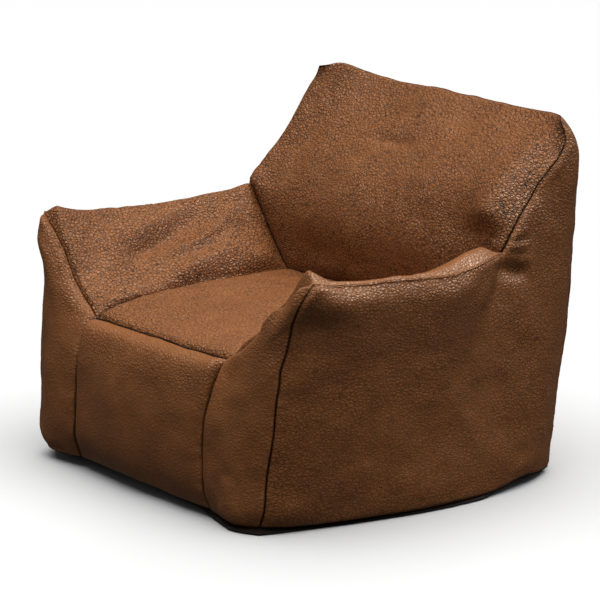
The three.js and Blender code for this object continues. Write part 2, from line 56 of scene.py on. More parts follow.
PT = dict(
    A=(490, -334, 547), S=(251, -369, 344), F=(246, -420, 14), O=(406, -410, 12), J=(450, 221, 538),
    E=(432, 414, 797), B=(288, 205, 374), K=(430, 392, 14), Z=(438, 402, 160))
SIDE_SEAMS = dict(
    AS=["A", (455, -346, 519), (427, -350, 491), (399, -353, 464), (374, -357, 434), (348, -359, 406), (317, -361, 383), (285, -364, 363), "S"],
    SF=["S", (250, -391, 328), (247, -413, 290), (246, -425, 255), (243, -431, 219), (241, -435, 175), (240, -438, 130), (243, -438, 80), "F"],
    AO=["A", (486, -362, 505), (472, -369, 470), (464, -370, 455), (454, -373, 406), (446, -382, 356), (441, -387, 305), (438, -394, 253), (434, -399, 202), (430, -403, 151), (427, -407, 101), (424, -410, 54), "O"],
    AJ=["A", (493, -256, 535), (497, -186, 530), (496, -115, 526), (498, -45, 522), (501, 24, 520), (496, 92, 525), (483, 157, 534), "J"],
    JE=["J", (455, 245, 577), (453, 271, 609), (449, 300, 638), (447, 328, 668), (449, 356, 699), (452, 383, 728), (449, 404, 760), "E"],
    SB=["S", (262, -300, 362), (272, -150, 372), (280, 50, 375), "B"],
    BJ=["B", (325, 208, 402), (365, 211, 447), (400, 214, 494), (425, 218, 517), "J"],
    EZ=["E", (439, 440, 765), (442, 450, 731), (443, 446, 640), (443, 440, 562), (443, 434, 447), (442, 424, 335), (440, 410, 220), "Z"],
    ZK=["Z", (434, 394, 80), "K"],
    OK=["O", (430, -345, 8), (461, -237, 7), (481, -143, 7), (497, -52, 7), (504, 50, 8), (500, 170, 9), (478, 295, 11), "K"],
    FO=["F", (300, -430, 11), (350, -436, 10), "O"])
CROSS_SEAMS = dict(
    SS=[(0, -376, 344), (130, -375, 344), "S"],
    FF=[(0, -434, 16), (140, -431, 15), "F"],
    BB=[(0, 207, 374), (150, 207, 374), "B"],
    EE=[(0, 468, 796), (150, 468, 798), (300, 460, 804), (385, 442, 812), "E"],
    KK=[(0, 462, 12), (210, 458, 12), (345, 446, 13), "K"])
ZIP_Y, ZIP_Z, ZIP_END, ZIP_SLOT = 447.0, 160.0, 348.0, 7.0

NS = 241                         # samples along each seam


def unit(v):
    return v / np.maximum(np.linalg.norm(v, axis=-1, keepdims=True), 1e-9)


def spline(points, per=40):
    p = np.array([PT[q] if isinstance(q, str) else q for q in points], float)
    p[:, 1] += SY
    if len(p) == 2:
        return p
    out = []
    for i in range(len(p) - 1):
        p1, p2 = p[i], p[i + 1]
        p0 = p[i - 1] if i else 2 * p[0] - p[1]
        p3 = p[i + 2] if i + 2 < len(p) else 2 * p[-1] - p[-2]
        d0, d1, d2 = (np.linalg.norm(a - b) ** 0.5 for a, b in ((p0, p1), (p1, p2), (p2, p3)))
        t1 = ((p1 - p0) / d0 - (p2 - p0) / (d0 + d1) + (p2 - p1) / d1) * d1
        t2 = ((p2 - p1) / d1 - (p3 - p1) / (d1 + d2) + (p3 - p2) / d2) * d1
        u = np.linspace(0, 1, per, endpoint=False)[:, None]
        out.append(p1 + t1 * u + (3 * (p2 - p1) - 2 * t1 - t2) * u ** 2 + (2 * (p1 - p2) + t1 + t2) * u ** 3)
    return np.vstack(out + [p[-1:]])


def resample(p, n):
    d = np.r_[0, np.cumsum(np.linalg.norm(np.diff(p, axis=0), axis=1))]
    t = np.linspace(0, d[-1], n)
    return np.stack([np.interp(t, d, p[:, k]) for k in range(3)], 1), d[-1]


def along(p, t):
    """Points on an evenly sampled polyline at the fractions t."""
    x = np.clip(t, 0, 1) * (len(p) - 1)
    i = np.minimum(x.astype(int), len(p) - 2)
    f = (x - i)[..., None]
    return p[i] * (1 - f) + p[i + 1] * f


def smooth_line(p, sigma, keep_ends=True):
    """A polyline's points averaged along it over sigma samples, the two ends kept."""
    r = int(3 * sigma) + 1
    k = np.exp(-0.5 * (np.arange(-r, r + 1) / sigma) ** 2)
    k /= k.sum()
    q = np.vstack([2 * p[0] - p[r:0:-1], p, 2 * p[-1] - p[-2:-r - 2:-1]])
    return np.stack([np.convolve(q[:, c], k, "valid") for c in range(p.shape[1])], 1)


# ---------------------------------------------------------------- seeded smooth noise
_rng = np.random.RandomState(4711)
_lattice = _rng.rand(32, 32, 32) * 2 - 1


def noise(p, scale, seed=0):
    """Smooth noise from -1 to 1 at the points p, with features about scale across."""
    q = np.asarray(p, float) / scale + np.array([3.7, 11.3, 23.9]) * (seed + 1)
    i = np.floor(q).astype(int)
    f = q - i
    f = f * f * f * (f * (6 * f - 15) + 10)
    i0, i1 = i % 32, (i + 1) % 32
    out = 0
    for a in (0, 1):
        for b in (0, 1):
            for c in (0, 1):
                w = (f[..., 0] if a else 1 - f[..., 0]) * (f[..., 1] if b else 1 - f[..., 1]) * (f[..., 2] if c else 1 - f[..., 2])
                out = out + w * _lattice[(i1 if a else i0)[..., 0], (i1 if b else i0)[..., 1], (i1 if c else i0)[..., 2]]
    return out * 1.6


def noise2(a, b, seed=0):
    return noise(np.stack([a, b, np.full_like(a, 0.37 + seed)], -1), 1.0, seed)


def ease(x):
    x = np.clip(x, 0, 1)
    return x * x * (3 - 2 * x)


# ---------------------------------------------------------------- seams
SEAM = {}
for _n, _p in SIDE_SEAMS.items():
    _c, _ = resample(spline(_p), NS)
    SEAM[_n + "+"] = _c
    SEAM[_n + "-"] = _c * [-1, 1, 1]
for _n, _p in CROSS_SEAMS.items():
    _h = spline(_p)
    SEAM[_n], _ = resample(np.vstack([(_h * [-1, 1, 1])[::-1][:-1], _h]), NS)
_z = np.array(PT["Z"], float) + [0, SY, 0]
_half = np.array([(0, ZIP_Y + SY, ZIP_Z), (ZIP_END, ZIP_Y + SY, ZIP_Z), tuple(_z)])
SEAM["ZZ"], _ = resample(np.vstack([(_half * [-1, 1, 1])[::-1][:-1], _half]), NS)
LENGTH = {k: np.linalg.norm(np.diff(c, axis=0), axis=1).sum() for k, c in SEAM.items()}

# each panel's four edges as runs of seams: (seam, backwards?); bottom and top run with u, left and right with v
PANELS = dict(
    seat_panel=dict(b=[("SS", 0)], r=[("SB+", 0)], t=[("BB", 0)], l=[("SB-", 0)], bulge=14),
    seat_front_panel=dict(b=[("FF", 0)], r=[("SF+", 1)], t=[("SS", 0)], l=[("SF-", 1)], bulge=14),
    backrest_panel=dict(b=[("BB", 0)], r=[("BJ+", 0), ("JE+", 0)], t=[("EE", 0)], l=[("BJ-", 0), ("JE-", 0)], bulge=46, frac=(5 / 11,)),
    right_inner_arm_panel=dict(b=[("SB+", 1)], r=[("AS+", 1)], t=[("AJ+", 1)], l=[("BJ+", 0)], bulge=22),
    left_inner_arm_panel=dict(b=[("SB-", 0)], r=[("BJ-", 0)], t=[("AJ-", 0)], l=[("AS-", 1)], bulge=22),
    right_arm_front_panel=dict(b=[("FO+", 0)], r=[("AO+", 1)], t=[("AS+", 1)], l=[("SF+", 1)], bulge=10),
    left_arm_front_panel=dict(b=[("FO-", 1)], r=[("SF-", 1)], t=[("AS-", 0)], l=[("AO-", 1)], bulge=10),
    right_side_panel=dict(b=[("OK+", 0)], r=[("ZK+", 1), ("EZ+", 1)], t=[("AJ+", 0), ("JE+", 0)], l=[("AO+", 1)], bulge=10, rfrac=(1 / 3,), tfrac=(1 / 2,)),
    left_side_panel=dict(b=[("OK-", 1)], r=[("AO-", 1)], t=[("JE-", 1), ("AJ-", 1)], l=[("ZK-", 1), ("EZ-", 1)], bulge=10, lfrac=(1 / 3,), tfrac=(1 / 2,)),
    rear_upper_panel=dict(b=[("ZZ", 1)], r=[("EZ-", 1)], t=[("EE", 1)], l=[("EZ+", 1)], bulge=34),
    rear_lower_panel=dict(b=[("KK", 1)], r=[("ZK-", 1)], t=[("ZZ", 1)], l=[("ZK+", 1)], bulge=8))
for _n, _p in PANELS.items():
    for _e in "brtl":
        _f = _p.get(_e + "frac", _p.get("frac", ()) if len(_p[_e]) == 2 else ())
        _p[_e + "cuts"] = np.r_[0, list(_f) if len(_p[_e]) == 2 else [], 1]
ZIP_EDGE = {("rear_upper_panel", "b"): 1, ("rear_lower_panel", "t"): -1}


def on_edge(panel, e, t, table):
    """table[seam] (NS rows) read at the fractions t of one edge of a panel."""
    p = PANELS[panel]
    cuts = p[e + "cuts"]
    t = np.asarray(t, float)
    out = np.zeros(t.shape + table[p[e][0][0]].shape[1:])
    for k, (seam, back) in enumerate(p[e]):
        m = (t >= cuts[k] - 1e-12) & ((t < cuts[k + 1]) | (k == len(p[e]) - 1))
        x = (t[m] - cuts[k]) / (cuts[k + 1] - cuts[k])
        tab = table[seam]
        out[m] = along(tab, 1 - x if back else x)
    return out


def edge_line(panel, e, n=321):
    p = on_edge(panel, e, np.linspace(0, 1, n), SEAM)
    if (panel, e) in ZIP_EDGE:                       # the panels stop short of the zip
        p = p.copy()
        p[:, 2] += ZIP_EDGE[(panel, e)] * ZIP_SLOT * ease((ZIP_END + 1 - np.abs(p[:, 0])) / 12)
    return p


class Patch:
    """The smooth filled shape of a panel between its seams."""

    def __init__(self, name):
        self.name, self.p = name, PANELS[name]
        self.edge = {e: edge_line(name, e) for e in "brtl"}
        self.soft = {}
        for e, c in self.edge.items():
            n = len(c)
            length = np.linalg.norm(np.diff(c, axis=0), axis=1).sum()
            self.soft[e] = smooth_line(c, max(1.0, min(70 / length, 0.16) * n))
            err = c - self.soft[e]
            w = np.linspace(0, 1, n)[:, None]
            self.soft[e] = self.soft[e] + err[0] * (1 - w) + err[-1] * w
        self.detail = {e: self.edge[e] - self.soft[e] for e in "brtl"}

    def coons(self, u, v, lines):
        b, t = along(lines["b"], u), along(lines["t"], u)
        l, r = along(lines["l"], v), along(lines["r"], v)
        u, v = u[..., None], v[..., None]
        B, T = lines["b"], lines["t"]
        return ((1 - v) * b + v * t + (1 - u) * l + u * r
                - (1 - u) * (1 - v) * B[0] - u * (1 - v) * B[-1] - (1 - u) * v * T[0] - u * v * T[-1])

    def flat(self, u, v):
        """Without the fill's swell."""
        p = self.coons(u, v, self.soft)
        wide = np.linalg.norm(along(self.soft["r"], v) - along(self.soft["l"], v), axis=-1)
        tall = np.linalg.norm(along(self.soft["t"], u) - along(self.soft["b"], u), axis=-1)
        reach = 95.0
        for e, s, x in (("l", u * wide, v), ("r", (1 - u) * wide, v), ("b", v * tall, u), ("t", (1 - v) * tall, u)):
            f = np.exp(-(s / reach) ** 1.5)[..., None] * (1 - (u if e == "l" else 1 - u if e == "r" else v if e == "b" else 1 - v) ** 3)[..., None]
            p = p + along(self.detail[e], x) * f
        return p

    def normal(self, u, v):
        h = 0.012
        u0, u1 = np.clip(u - h, 0, 1), np.clip(u + h, 0, 1)
        v0, v1 = np.clip(v - h, 0, 1), np.clip(v + h, 0, 1)
        du = self.coons(u1, v, self.soft) - self.coons(u0, v, self.soft)
        dv = self.coons(u, v1, self.soft) - self.coons(u, v0, self.soft)
        return unit(np.cross(du, dv))

    def swell(self, u, v):
        su, sv = np.sin(math.pi * np.clip(u, 0, 1)), np.sin(math.pi * np.clip(v, 0, 1))
        if self.name == "backrest_panel":
            return 46 * np.maximum(su, 0) ** 0.6 * np.maximum(sv, 0) ** 0.8
        return self.p["bulge"] * np.maximum(su * sv, 0) ** 0.6

    def at(self, u, v):
        return self.flat(u, v) + self.normal(u, v) * self.swell(u, v)[..., None]


PATCH = {n: Patch(n) for n in PANELS}


def edge_frames(name, e, n=NS):
    """At n fractions of an edge: the tangent, the way into the panel and the outward normal, a little inside the seam."""
    pa = PATCH[name]
    t = np.linspace(0, 1, n)
    across = np.linalg.norm(along(pa.edge["r"], t) - along(pa.edge["l"], t), axis=-1) if e in "lr" else np.linalg.norm(along(pa.edge["t"], t) - along(pa.edge["b"], t), axis=-1)
    # the far side may be close by at a corner: never look in further than a fifth
    step = np.clip(18 / np.maximum(across, 60), 0.01, 0.2)
    tt = np.clip(t, 0.015, 0.985)
    if e == "b":
        q = pa.at(tt, step)
    elif e == "t":
        q = pa.at(tt, 1 - step)
    elif e == "l":
        q = pa.at(step, tt)
    else:
        q = pa.at(1 - step, tt)
    c = along(pa.edge[e], tt)
    tau = unit(np.gradient(smooth_line(along(pa.edge[e], t), 3), axis=0))
    g = q - c
    g = unit(g - (g * tau).sum(-1, keepdims=True) * tau)
    nrm = np.cross(tau, g) * (1 if e in "br" else -1)
    return t, tau, g, unit(nrm)


# every seam's inward direction, from the panels on its two sides (the base counts as one that faces down)
_gather = {k: [] for k in SEAM}
FRAME = {}
for _n, _p in PANELS.items():
    for _e in "brtl":
        t, tau, g, nrm = edge_frames(_n, _e, 4 * (NS - 1) + 1)
        FRAME[(_n, _e)] = (tau, g, nrm)
        cuts = _p[_e + "cuts"]
        for k, (seam, back) in enumerate(_p[_e]):
            x = np.linspace(0, 1, NS)
            y = cuts[k] + (1 - x if back else x) * (cuts[k + 1] - cuts[k])
            _gather[seam].append((along(nrm, y), along(g, y)))
for _k in ("FF", "FO+", "FO-", "OK+", "OK-", "KK"):
    _gather[_k].append((np.tile([0.0, 0, -1.0], (NS, 1)), None))
INWARD = {}
for _k, _l in _gather.items():
    if _k == "ZZ":
        INWARD[_k] = np.tile([0.0, -1.0, 0.0], (NS, 1))
        continue
    n1, n2 = _l[0][0], _l[1][0]
    b = -(n1 + n2)
    if _k[:2] in ("FF", "FO", "OK", "KK"):
        b = -n1 * 1.0 + [0, 0, 0.35]
    INWARD[_k] = unit(smooth_line(unit(b), 6))
CORNER_SEAMS = {}
for _k in SEAM:
    if _k in ("SS", "FF", "BB", "EE", "KK", "ZZ"):
        c = {"SS": "S", "FF": "F", "BB": "B", "EE": "E", "KK": "K", "ZZ": "Z"}[_k]
        CORNER_SEAMS.setdefault(c + "-", []).append((_k, 0))
        CORNER_SEAMS.setdefault(c + "+", []).append((_k, -1))
    else:
        CORNER_SEAMS.setdefault(_k[0] + _k[2], []).append((_k, 0))
        CORNER_SEAMS.setdefault(_k[1] + _k[2], []).append((_k, -1))

# how deep each seam lies below the rolls beside it, and how far in the roll begins, millimetres
DEPTH = dict(AS=5.0, SF=5.0, AO=5.5, AJ=5.0, JE=5.5, SB=11.0, BJ=9.0, EZ=5.0, ZK=5.0, OK=5.0, FO=5.0, SS=6.0, FF=5.0, BB=12.0, EE=5.0, KK=5.0, ZZ=2.2)
ROLL = dict(AS=11, SF=13, AO=12, AJ=12, JE=11, SB=26, BJ=22, EZ=12, ZK=12, OK=12, FO=11, SS=13, FF=12, BB=30, EE=12, KK=12, ZZ=5)
DEEPER = {"SF+": 1.5, "SF-": 2.0, "AO+": 1.05, "AO-": 1.05, "AS-": 0.5}
QUIET_SEAMS = {"AJ+": (95, 70, 60, 50), "AJ-": (95, 70, 60, 50)}


def quiet(k):
    x = np.linspace(0, 1, NS) * LENGTH[k]
    a, wa, b, wb = QUIET_SEAMS[k]
    return ease((x - a) / wa) * ease((LENGTH[k] - x - b) / wb)


CORNER_DEPTH = {"A+": 0.55, "E-": 0.08, "E+": 0.7, "A-": 0.45}
# the seams' own displacement, equal for every panel that meets there
SINK = {}
_at_corner = {}
for _c, _l in CORNER_SEAMS.items():
    b = unit(sum(INWARD[k][i] for k, i in _l))
    d = np.mean([DEPTH[k[:2]] for k, i in _l])
    _at_corner[_c] = b * min(d, 7.5) * CORNER_DEPTH.get(_c, 1.0)
for _c, _l in CORNER_SEAMS.items():
    for _k, _i in _l:
        if _k == "ZZ":
            continue
        x = np.linspace(0, 1, NS) * LENGTH[_k]
        x = x if _i == 0 else LENGTH[_k] - x
        w = np.exp(-(x / 30.0) ** 2)[:, None]
        INWARD[_k] = unit(INWARD[_k] * (1 - w) + unit(_at_corner[_c]) * w)
for _k, _c in SEAM.items():
    if _k == "ZZ":
        SINK[_k] = INWARD[_k] * 0.0
    ends = ([c for c, l in CORNER_SEAMS.items() if (_k, 0) in l][0], [c for c, l in CORNER_SEAMS.items() if (_k, -1) in l][0])
    x = np.linspace(0, 1, NS) * LENGTH[_k]
    w0, w1 = np.exp(-(x / 26.0) ** 2)[:, None], np.exp(-((LENGTH[_k] - x) / 26.0) ** 2)[:, None]
    depth = DEPTH[_k[:2]] * (1 + 0.13 * noise(_c, 60, 5))[:, None]
    if _k[:2] == "AS":                               # the seam opens a little towards the tip
        depth = depth * (1 + 0.45 * np.exp(-((x - 45) / 40.0) ** 2))[:, None]
    if _k == "AS+":
        depth = depth * (1 + 0.3 * np.exp(-((x - 62) / 36.0) ** 2))[:, None]
    depth = depth * DEEPER.get(_k, 1.0)
    if _k in QUIET_SEAMS:                            # pulled so tight that it hardly shows
        depth = depth * (1 - 0.62 * quiet(_k))[:, None]
    v = INWARD[_k] * depth
    if _k == "ZZ":
        v = v * ease((np.abs(_c[:, 0]) - ZIP_END) / 20)[:, None] * 2.0
    SINK[_k] = v * (1 - w0 - w1) + _at_corner[ends[0]] * w0 + _at_corner[ends[1]] * w1

# ---------------------------------------------------------------- authored folds and dents (seam-point frame, before the shift)
def mm(points):
    p = np.array(points, float)
    p[..., 1] += SY
    return p


def fold(P, N, points, width, height, kind="ridge", fade=0.22, sharp=2.0, snap=False):
    """Height along the surface normal of one fold that follows the 3D points. kind ridge is a rounded rise (or a groove
    if height is negative), step rises on one side and sinks on the other, crease is a narrow valley between soft lips."""
    c = spline_raw(mm(points))
    if snap:                                             # laid onto the panel first
        flat = P.reshape(-1, 3)
        c = flat[((c[:, None] - flat[None, ::3]) ** 2).sum(-1).argmin(1) * 3]
        c = smooth_line(c, 2.0)
    lo, hi = c.min(0) - 3.2 * width, c.max(0) + 3.2 * width
    m = ((P >= lo) & (P <= hi)).all(-1)
    out = np.zeros(P.shape[:-1])
    if not m.any():
        return out
    q = P[m]
    d2 = ((q[:, None, :] - c[None]) ** 2).sum(-1)
    i = d2.argmin(1)
    t = i / (len(c) - 1)
    tau = unit(np.gradient(c, axis=0))[i]
    rel = q - c[i]
    rel = rel - (rel * tau).sum(-1, keepdims=True) * tau * 0.0
    side = unit(np.cross(N[m], tau))
    x = (rel * side).sum(-1)
    d = np.sqrt(d2[np.arange(len(q)), i])
    env = ease(t / fade) * ease((1 - t) / fade) if fade > 0 else np.ones_like(t)
    # beyond the ends the distance itself fades it
    if kind == "ridge":
        h = np.exp(-(d / width) ** sharp)
    elif kind == "step":
        h = (x / width) * np.exp(-(d / width) ** 2) * 2.33
    else:
        h = -np.exp(-(d / (0.35 * width)) ** 2) + 0.45 * np.exp(-((d - 0.9 * width) / (0.5 * width)) ** 2)
    out[m] = height * env * h
    return out


def spline_raw(p, per=14):
    if len(p) == 2:
        return p[0] + (p[1] - p[0]) * np.linspace(0, 1, 24)[:, None]
    out = []
    for i in range(len(p) - 1):
        p1, p2 = p[i], p[i + 1]
        p0 = p[i - 1] if i else 2 * p[0] - p[1]
        p3 = p[i + 2] if i + 2 < len(p) else 2 * p[-1] - p[-2]
        u = np.linspace(0, 1, per, endpoint=False)[:, None]
        out.append(0.5 * (2 * p1 + (p2 - p0) * u + (2 * p0 - 5 * p1 + 4 * p2 - p3) * u ** 2 + (3 * p1 - p0 - 3 * p2 + p3) * u ** 3))
    return np.vstack(out + [p[-1:]])


def dent(P, centre, radius, height):
    c = mm(centre)
    r = np.asarray(radius, float)
    return height * np.exp(-(((P - c) / r) ** 2).sum(-1))


def warp(P):
    """Moves every piece of the cover alike, so that seams stay closed."""
    P = np.array(P, float)
    for centre, radius, move in WARPS:
        w = np.exp(-(((P - mm(centre)) / np.asarray(radius, float)) ** 2).sum(-1))[..., None]
        P = P + w * np.asarray(move, float)
    # hand-sewn seams wander a little
    top = ease((P[..., 2] - 5) / 60)[..., None]
    zip_far = 1 - np.exp(-(((P - [0, ZIP_Y + SY, ZIP_Z]) / [1e9, 60, 70]) ** 2).sum(-1))[..., None]
    wander = np.stack([noise(P, 95, 11), noise(P, 95, 12), noise(P, 95, 13)], -1) * 1.5 + np.stack([noise(P, 34, 14), noise(P, 34, 15), noise(P, 34, 16)], -1) * 0.7
    return P + wander * top * zip_far


WARPS = []
FOLDS = {}
DENTS = {}
LUMPS = {}


def samples(length, rows_a=True, rows_b=True):
    ra = [r for r in ROWS if r < length * 0.3]
    lo = [0.0] + ra
    hi = [length] + [length - r for r in ra]
    a, b = lo[-1], hi[-1]
    n = max(2, int(round((b - a) / CELL)))
    if (n + 2 * len(ra)) % 2:
        n += 1
    mid = np.linspace(a, b, n + 1)[1:-1]
    return np.array(lo + list(mid) + hi[::-1]) / length


def chord(P, axis):
    d = np.linalg.norm(np.diff(P, axis=axis), axis=-1)
    z = np.zeros_like(np.take(d, [0], axis=axis))
    return np.concatenate([z, np.cumsum(d, axis=axis)], axis=axis)


def grid_normals(P):
    du = np.gradient(P, axis=0)
    dv = np.gradient(P, axis=1)
    return unit(np.cross(du, dv))


def sew(name):
    """The outer face of one panel as a grid, with its seam data."""
    pa = PATCH[name]
    L = {e: np.linalg.norm(np.diff(pa.edge[e], axis=0), axis=1).sum() for e in "brtl"}
    u = samples(0.5 * (L["b"] + L["t"]) * 1.0)
    v = samples(0.5 * (L["l"] + L["r"]) * 1.0)
    U, V = np.meshgrid(u, v, indexing="ij")
    P = pa.at(U, V)
    N = grid_normals(P)
    cu, cv = chord(P, 0), chord(P, 1)
    tu, tv = unit(np.gradient(P, axis=0)), unit(np.gradient(P, axis=1))
    sin = np.sqrt(np.maximum(1 - (tu * tv).sum(-1) ** 2, 0.05))
    S = dict(l=cu * sin, r=(cu[-1:] - cu) * sin, b=cv * sin, t=(cv[:, -1:] - cv) * sin)
    T = dict(l=V, r=V, b=U, t=U)
    near = np.minimum.reduce([S[e] for e in "brtl"])
    # how far from a seam the painted seam shade ends: the distance to the seams, shifted by FAINT
    shown = np.minimum.reduce([S[e] + on_edge(name, e, T[e], FAINT)[..., 0] for e in "brtl"])
    away = 1 - np.exp(-(near / 24.0) ** 2)
    soft_away = 1 - np.exp(-(near / 7.0) ** 2)

    h = np.zeros(P.shape[:2])
    for scale, amount, seed in LUMPS.get(name, ((150, 2.2, 21), (70, 1.1, 22))):
        h += noise(P, scale, seed) * amount * away
    P0 = P.copy()
    for f in FOLDS.get(name, ()):
        h += fold(P0, N, *f[0], **f[1]) * (soft_away if not f[1].get("kind") == "x" else 1)
    for d in DENTS.get(name, ()):
        h += dent(P0, *d) * soft_away
    # puckers where the thread pulls: short ripples across the seam that die out into the panel
    for e in "brtl":
        s, t = S[e], T[e]
        a, lam, reach = PUCKER.get((name, e), PUCKER_USUAL)
        x = t * L[e]
        jitter = noise2(x / 55, s / 60, 31 + "brtl".index(e)) * 5
        rip = noise2((x + jitter) / lam, s / (reach * 1.3), 41 + "brtl".index(e))
        rip = rip - 0.55 * np.abs(noise2((x + jitter) / (lam * 0.55), s / (reach * 0.9), 51 + "brtl".index(e)))
        mod = 0.45 + 0.75 * np.clip(noise2(x / 70, s * 0, 61 + "brtl".index(e)) + 0.35, 0, 1.4)
        ends = ease(x / 16) * ease((L[e] - x) / 16)
        h += a * rip * mod * np.exp(-s / reach) * (1 - np.exp(-(s / 3.2) ** 2)) * ends
    if name in EXTRA:
        h = h + EXTRA[name](P0, N, S, T, L) * (1 - np.exp(-(near / 6.5) ** 2))      # nothing lifts off its seam
    P = P + N * h[..., None]
    plain = warp(P)
    need = np.zeros(P.shape[:2])
    for e in "brtl":
        d = np.linalg.norm(on_edge(name, e, T[e], SINK), axis=-1)
        need = np.maximum(need, (d + 11.0) * np.exp(-(S[e] / 22.0) ** 2))
    REF.append((plain.reshape(-1, 3), grid_normals(plain).reshape(-1, 3), need.reshape(-1)))

    # the rolls beside the seams
    W, vec = {}, {}
    for e in "brtl":
        sink = on_edge(name, e, T[e], SINK)
        roll = on_edge(name, e, T[e], ROLLS)[..., 0]
        roll = roll * ROLL_SCALE.get((name, e), 1.0)
        x = np.clip(S[e] / roll, 0, 1)
        W[e] = 1 - np.sqrt(np.maximum(1 - (1 - x) ** 2.0, 0))
        vec[e] = sink
    move = sum(W[e][..., None] * vec[e] for e in "brtl")
    for e1, e2 in (("l", "b"), ("l", "t"), ("r", "b"), ("r", "t")):
        c = _corner_sink(name, e1, e2)
        move -= (W[e1] * W[e2])[..., None] * c
    P = P + move
    # a proud lip just beside some seams
    for e in "brtl":
        lip, at, wide = LIP.get((name, e), (0, 5, 4))
        if lip:
            ends = ease(T[e] * L[e] / 30) * ease((1 - T[e]) * L[e] / 30)
            k = np.exp(-((S[e] - at) / wide) ** 2) * lip * ends * (1 + 0.25 * noise2(T[e] * L[e] / 40, S[e] * 0, 71))
            P = P + N * (k * (1 - np.exp(-(S[e] / 2.0) ** 2)))[..., None]
    # a hair's breadth between the two panels of a seam
    for e in "brtl":
        tau, g, nrm = FRAME[(name, e)]
        gg = along(g, T[e])
        P = P + gg * (0.22 * np.exp(-(S[e] / 1.5) ** 2))[..., None]
    P = warp(P)
    return dict(P=P, U=U, V=V, S=S, T=T, near=near, shown=shown, cu=cu, cv=cv, L=L, plain=P0, grid_seam=P0.reshape(-1, 3))


def _corner_sink(name, e1, e2):
    t = {"b": 0.0, "t": 1.0}[e2]
    return on_edge(name, e1, np.array([t]), SINK)[0]


ROLLS = {k: np.full((NS, 1), float(ROLL[k[:2]])) for k in SEAM}
# how many millimetres each seam's painted shade is lifted off it; negative values widen the dark band
FAINT = {k: np.zeros((NS, 1)) for k in SEAM}
for _k in QUIET_SEAMS:
    FAINT[_k] = 4.5 * quiet(_k)[:, None]
for _k in ("JE-", "EE", "EZ-"):                          # the painted seam shade is lifted at the left ear
    _e = np.linalg.norm(SEAM[_k] - SEAM["JE-"][-1], axis=1)
    FAINT[_k] = 6.0 * np.exp(-(_e / 62.0) ** 2)[:, None]
# the painted seam shade is lifted near both arms' tips too
for _k in ("AS-", "AO-", "AJ-"):
    _e = np.linalg.norm(SEAM[_k] - SEAM["AS-"][0], axis=1)
    FAINT[_k] = np.maximum(FAINT[_k], 5.0 * np.exp(-(_e / 20.0) ** 2)[:, None])
for _k in ("AS+", "AO+", "AJ+"):
    _e = np.linalg.norm(SEAM[_k] - SEAM["AS+"][0], axis=1)
    FAINT[_k] = np.maximum(FAINT[_k], (5.0 if _k == "AS+" else 3.5) * np.exp(-(_e / (40.0 if _k == "AS+" else 16.0)) ** 2)[:, None])
ROLL_SCALE = {}
PUCKER_USUAL = (0.9, 10.0, 14.0)
PUCKER = {}
LIP = {}
EXTRA = {}
RELIEF = {}                      # how slack the leatherette is over a panel
CREASE_SHADE = {}                         # how strongly its grain's creases are darkened: painted shade in the creases, partly darker dye
FLANGE = (2.5, 6.0, 9.5)
REF = []                         # the cover without its grooves: points, outward normals, and how far below them the bags stay


def vertex_normals(P, faces):
    n = np.zeros_like(P)
    a = P[faces[:, 2]] - P[faces[:, 0]]
    b = P[faces[:, 3]] - P[faces[:, 1]]
    f = np.cross(a, b)
    for k in range(4):
        np.add.at(n, faces[:, k], f)
    return unit(n)


def loop_of(nu, nv):
    """Grid indices round the rim of an (nu+1) x (nv+1) grid, anticlockwise seen from outside."""
    at = lambda i, j: i * (nv + 1) + j
    return np.array([at(i, 0) for i in range(nu)] + [at(nu, j) for j in range(nv)] + [at(i, nv) for i in range(nu, 0, -1)] + [at(0, j) for j in range(nv, 0, -1)])


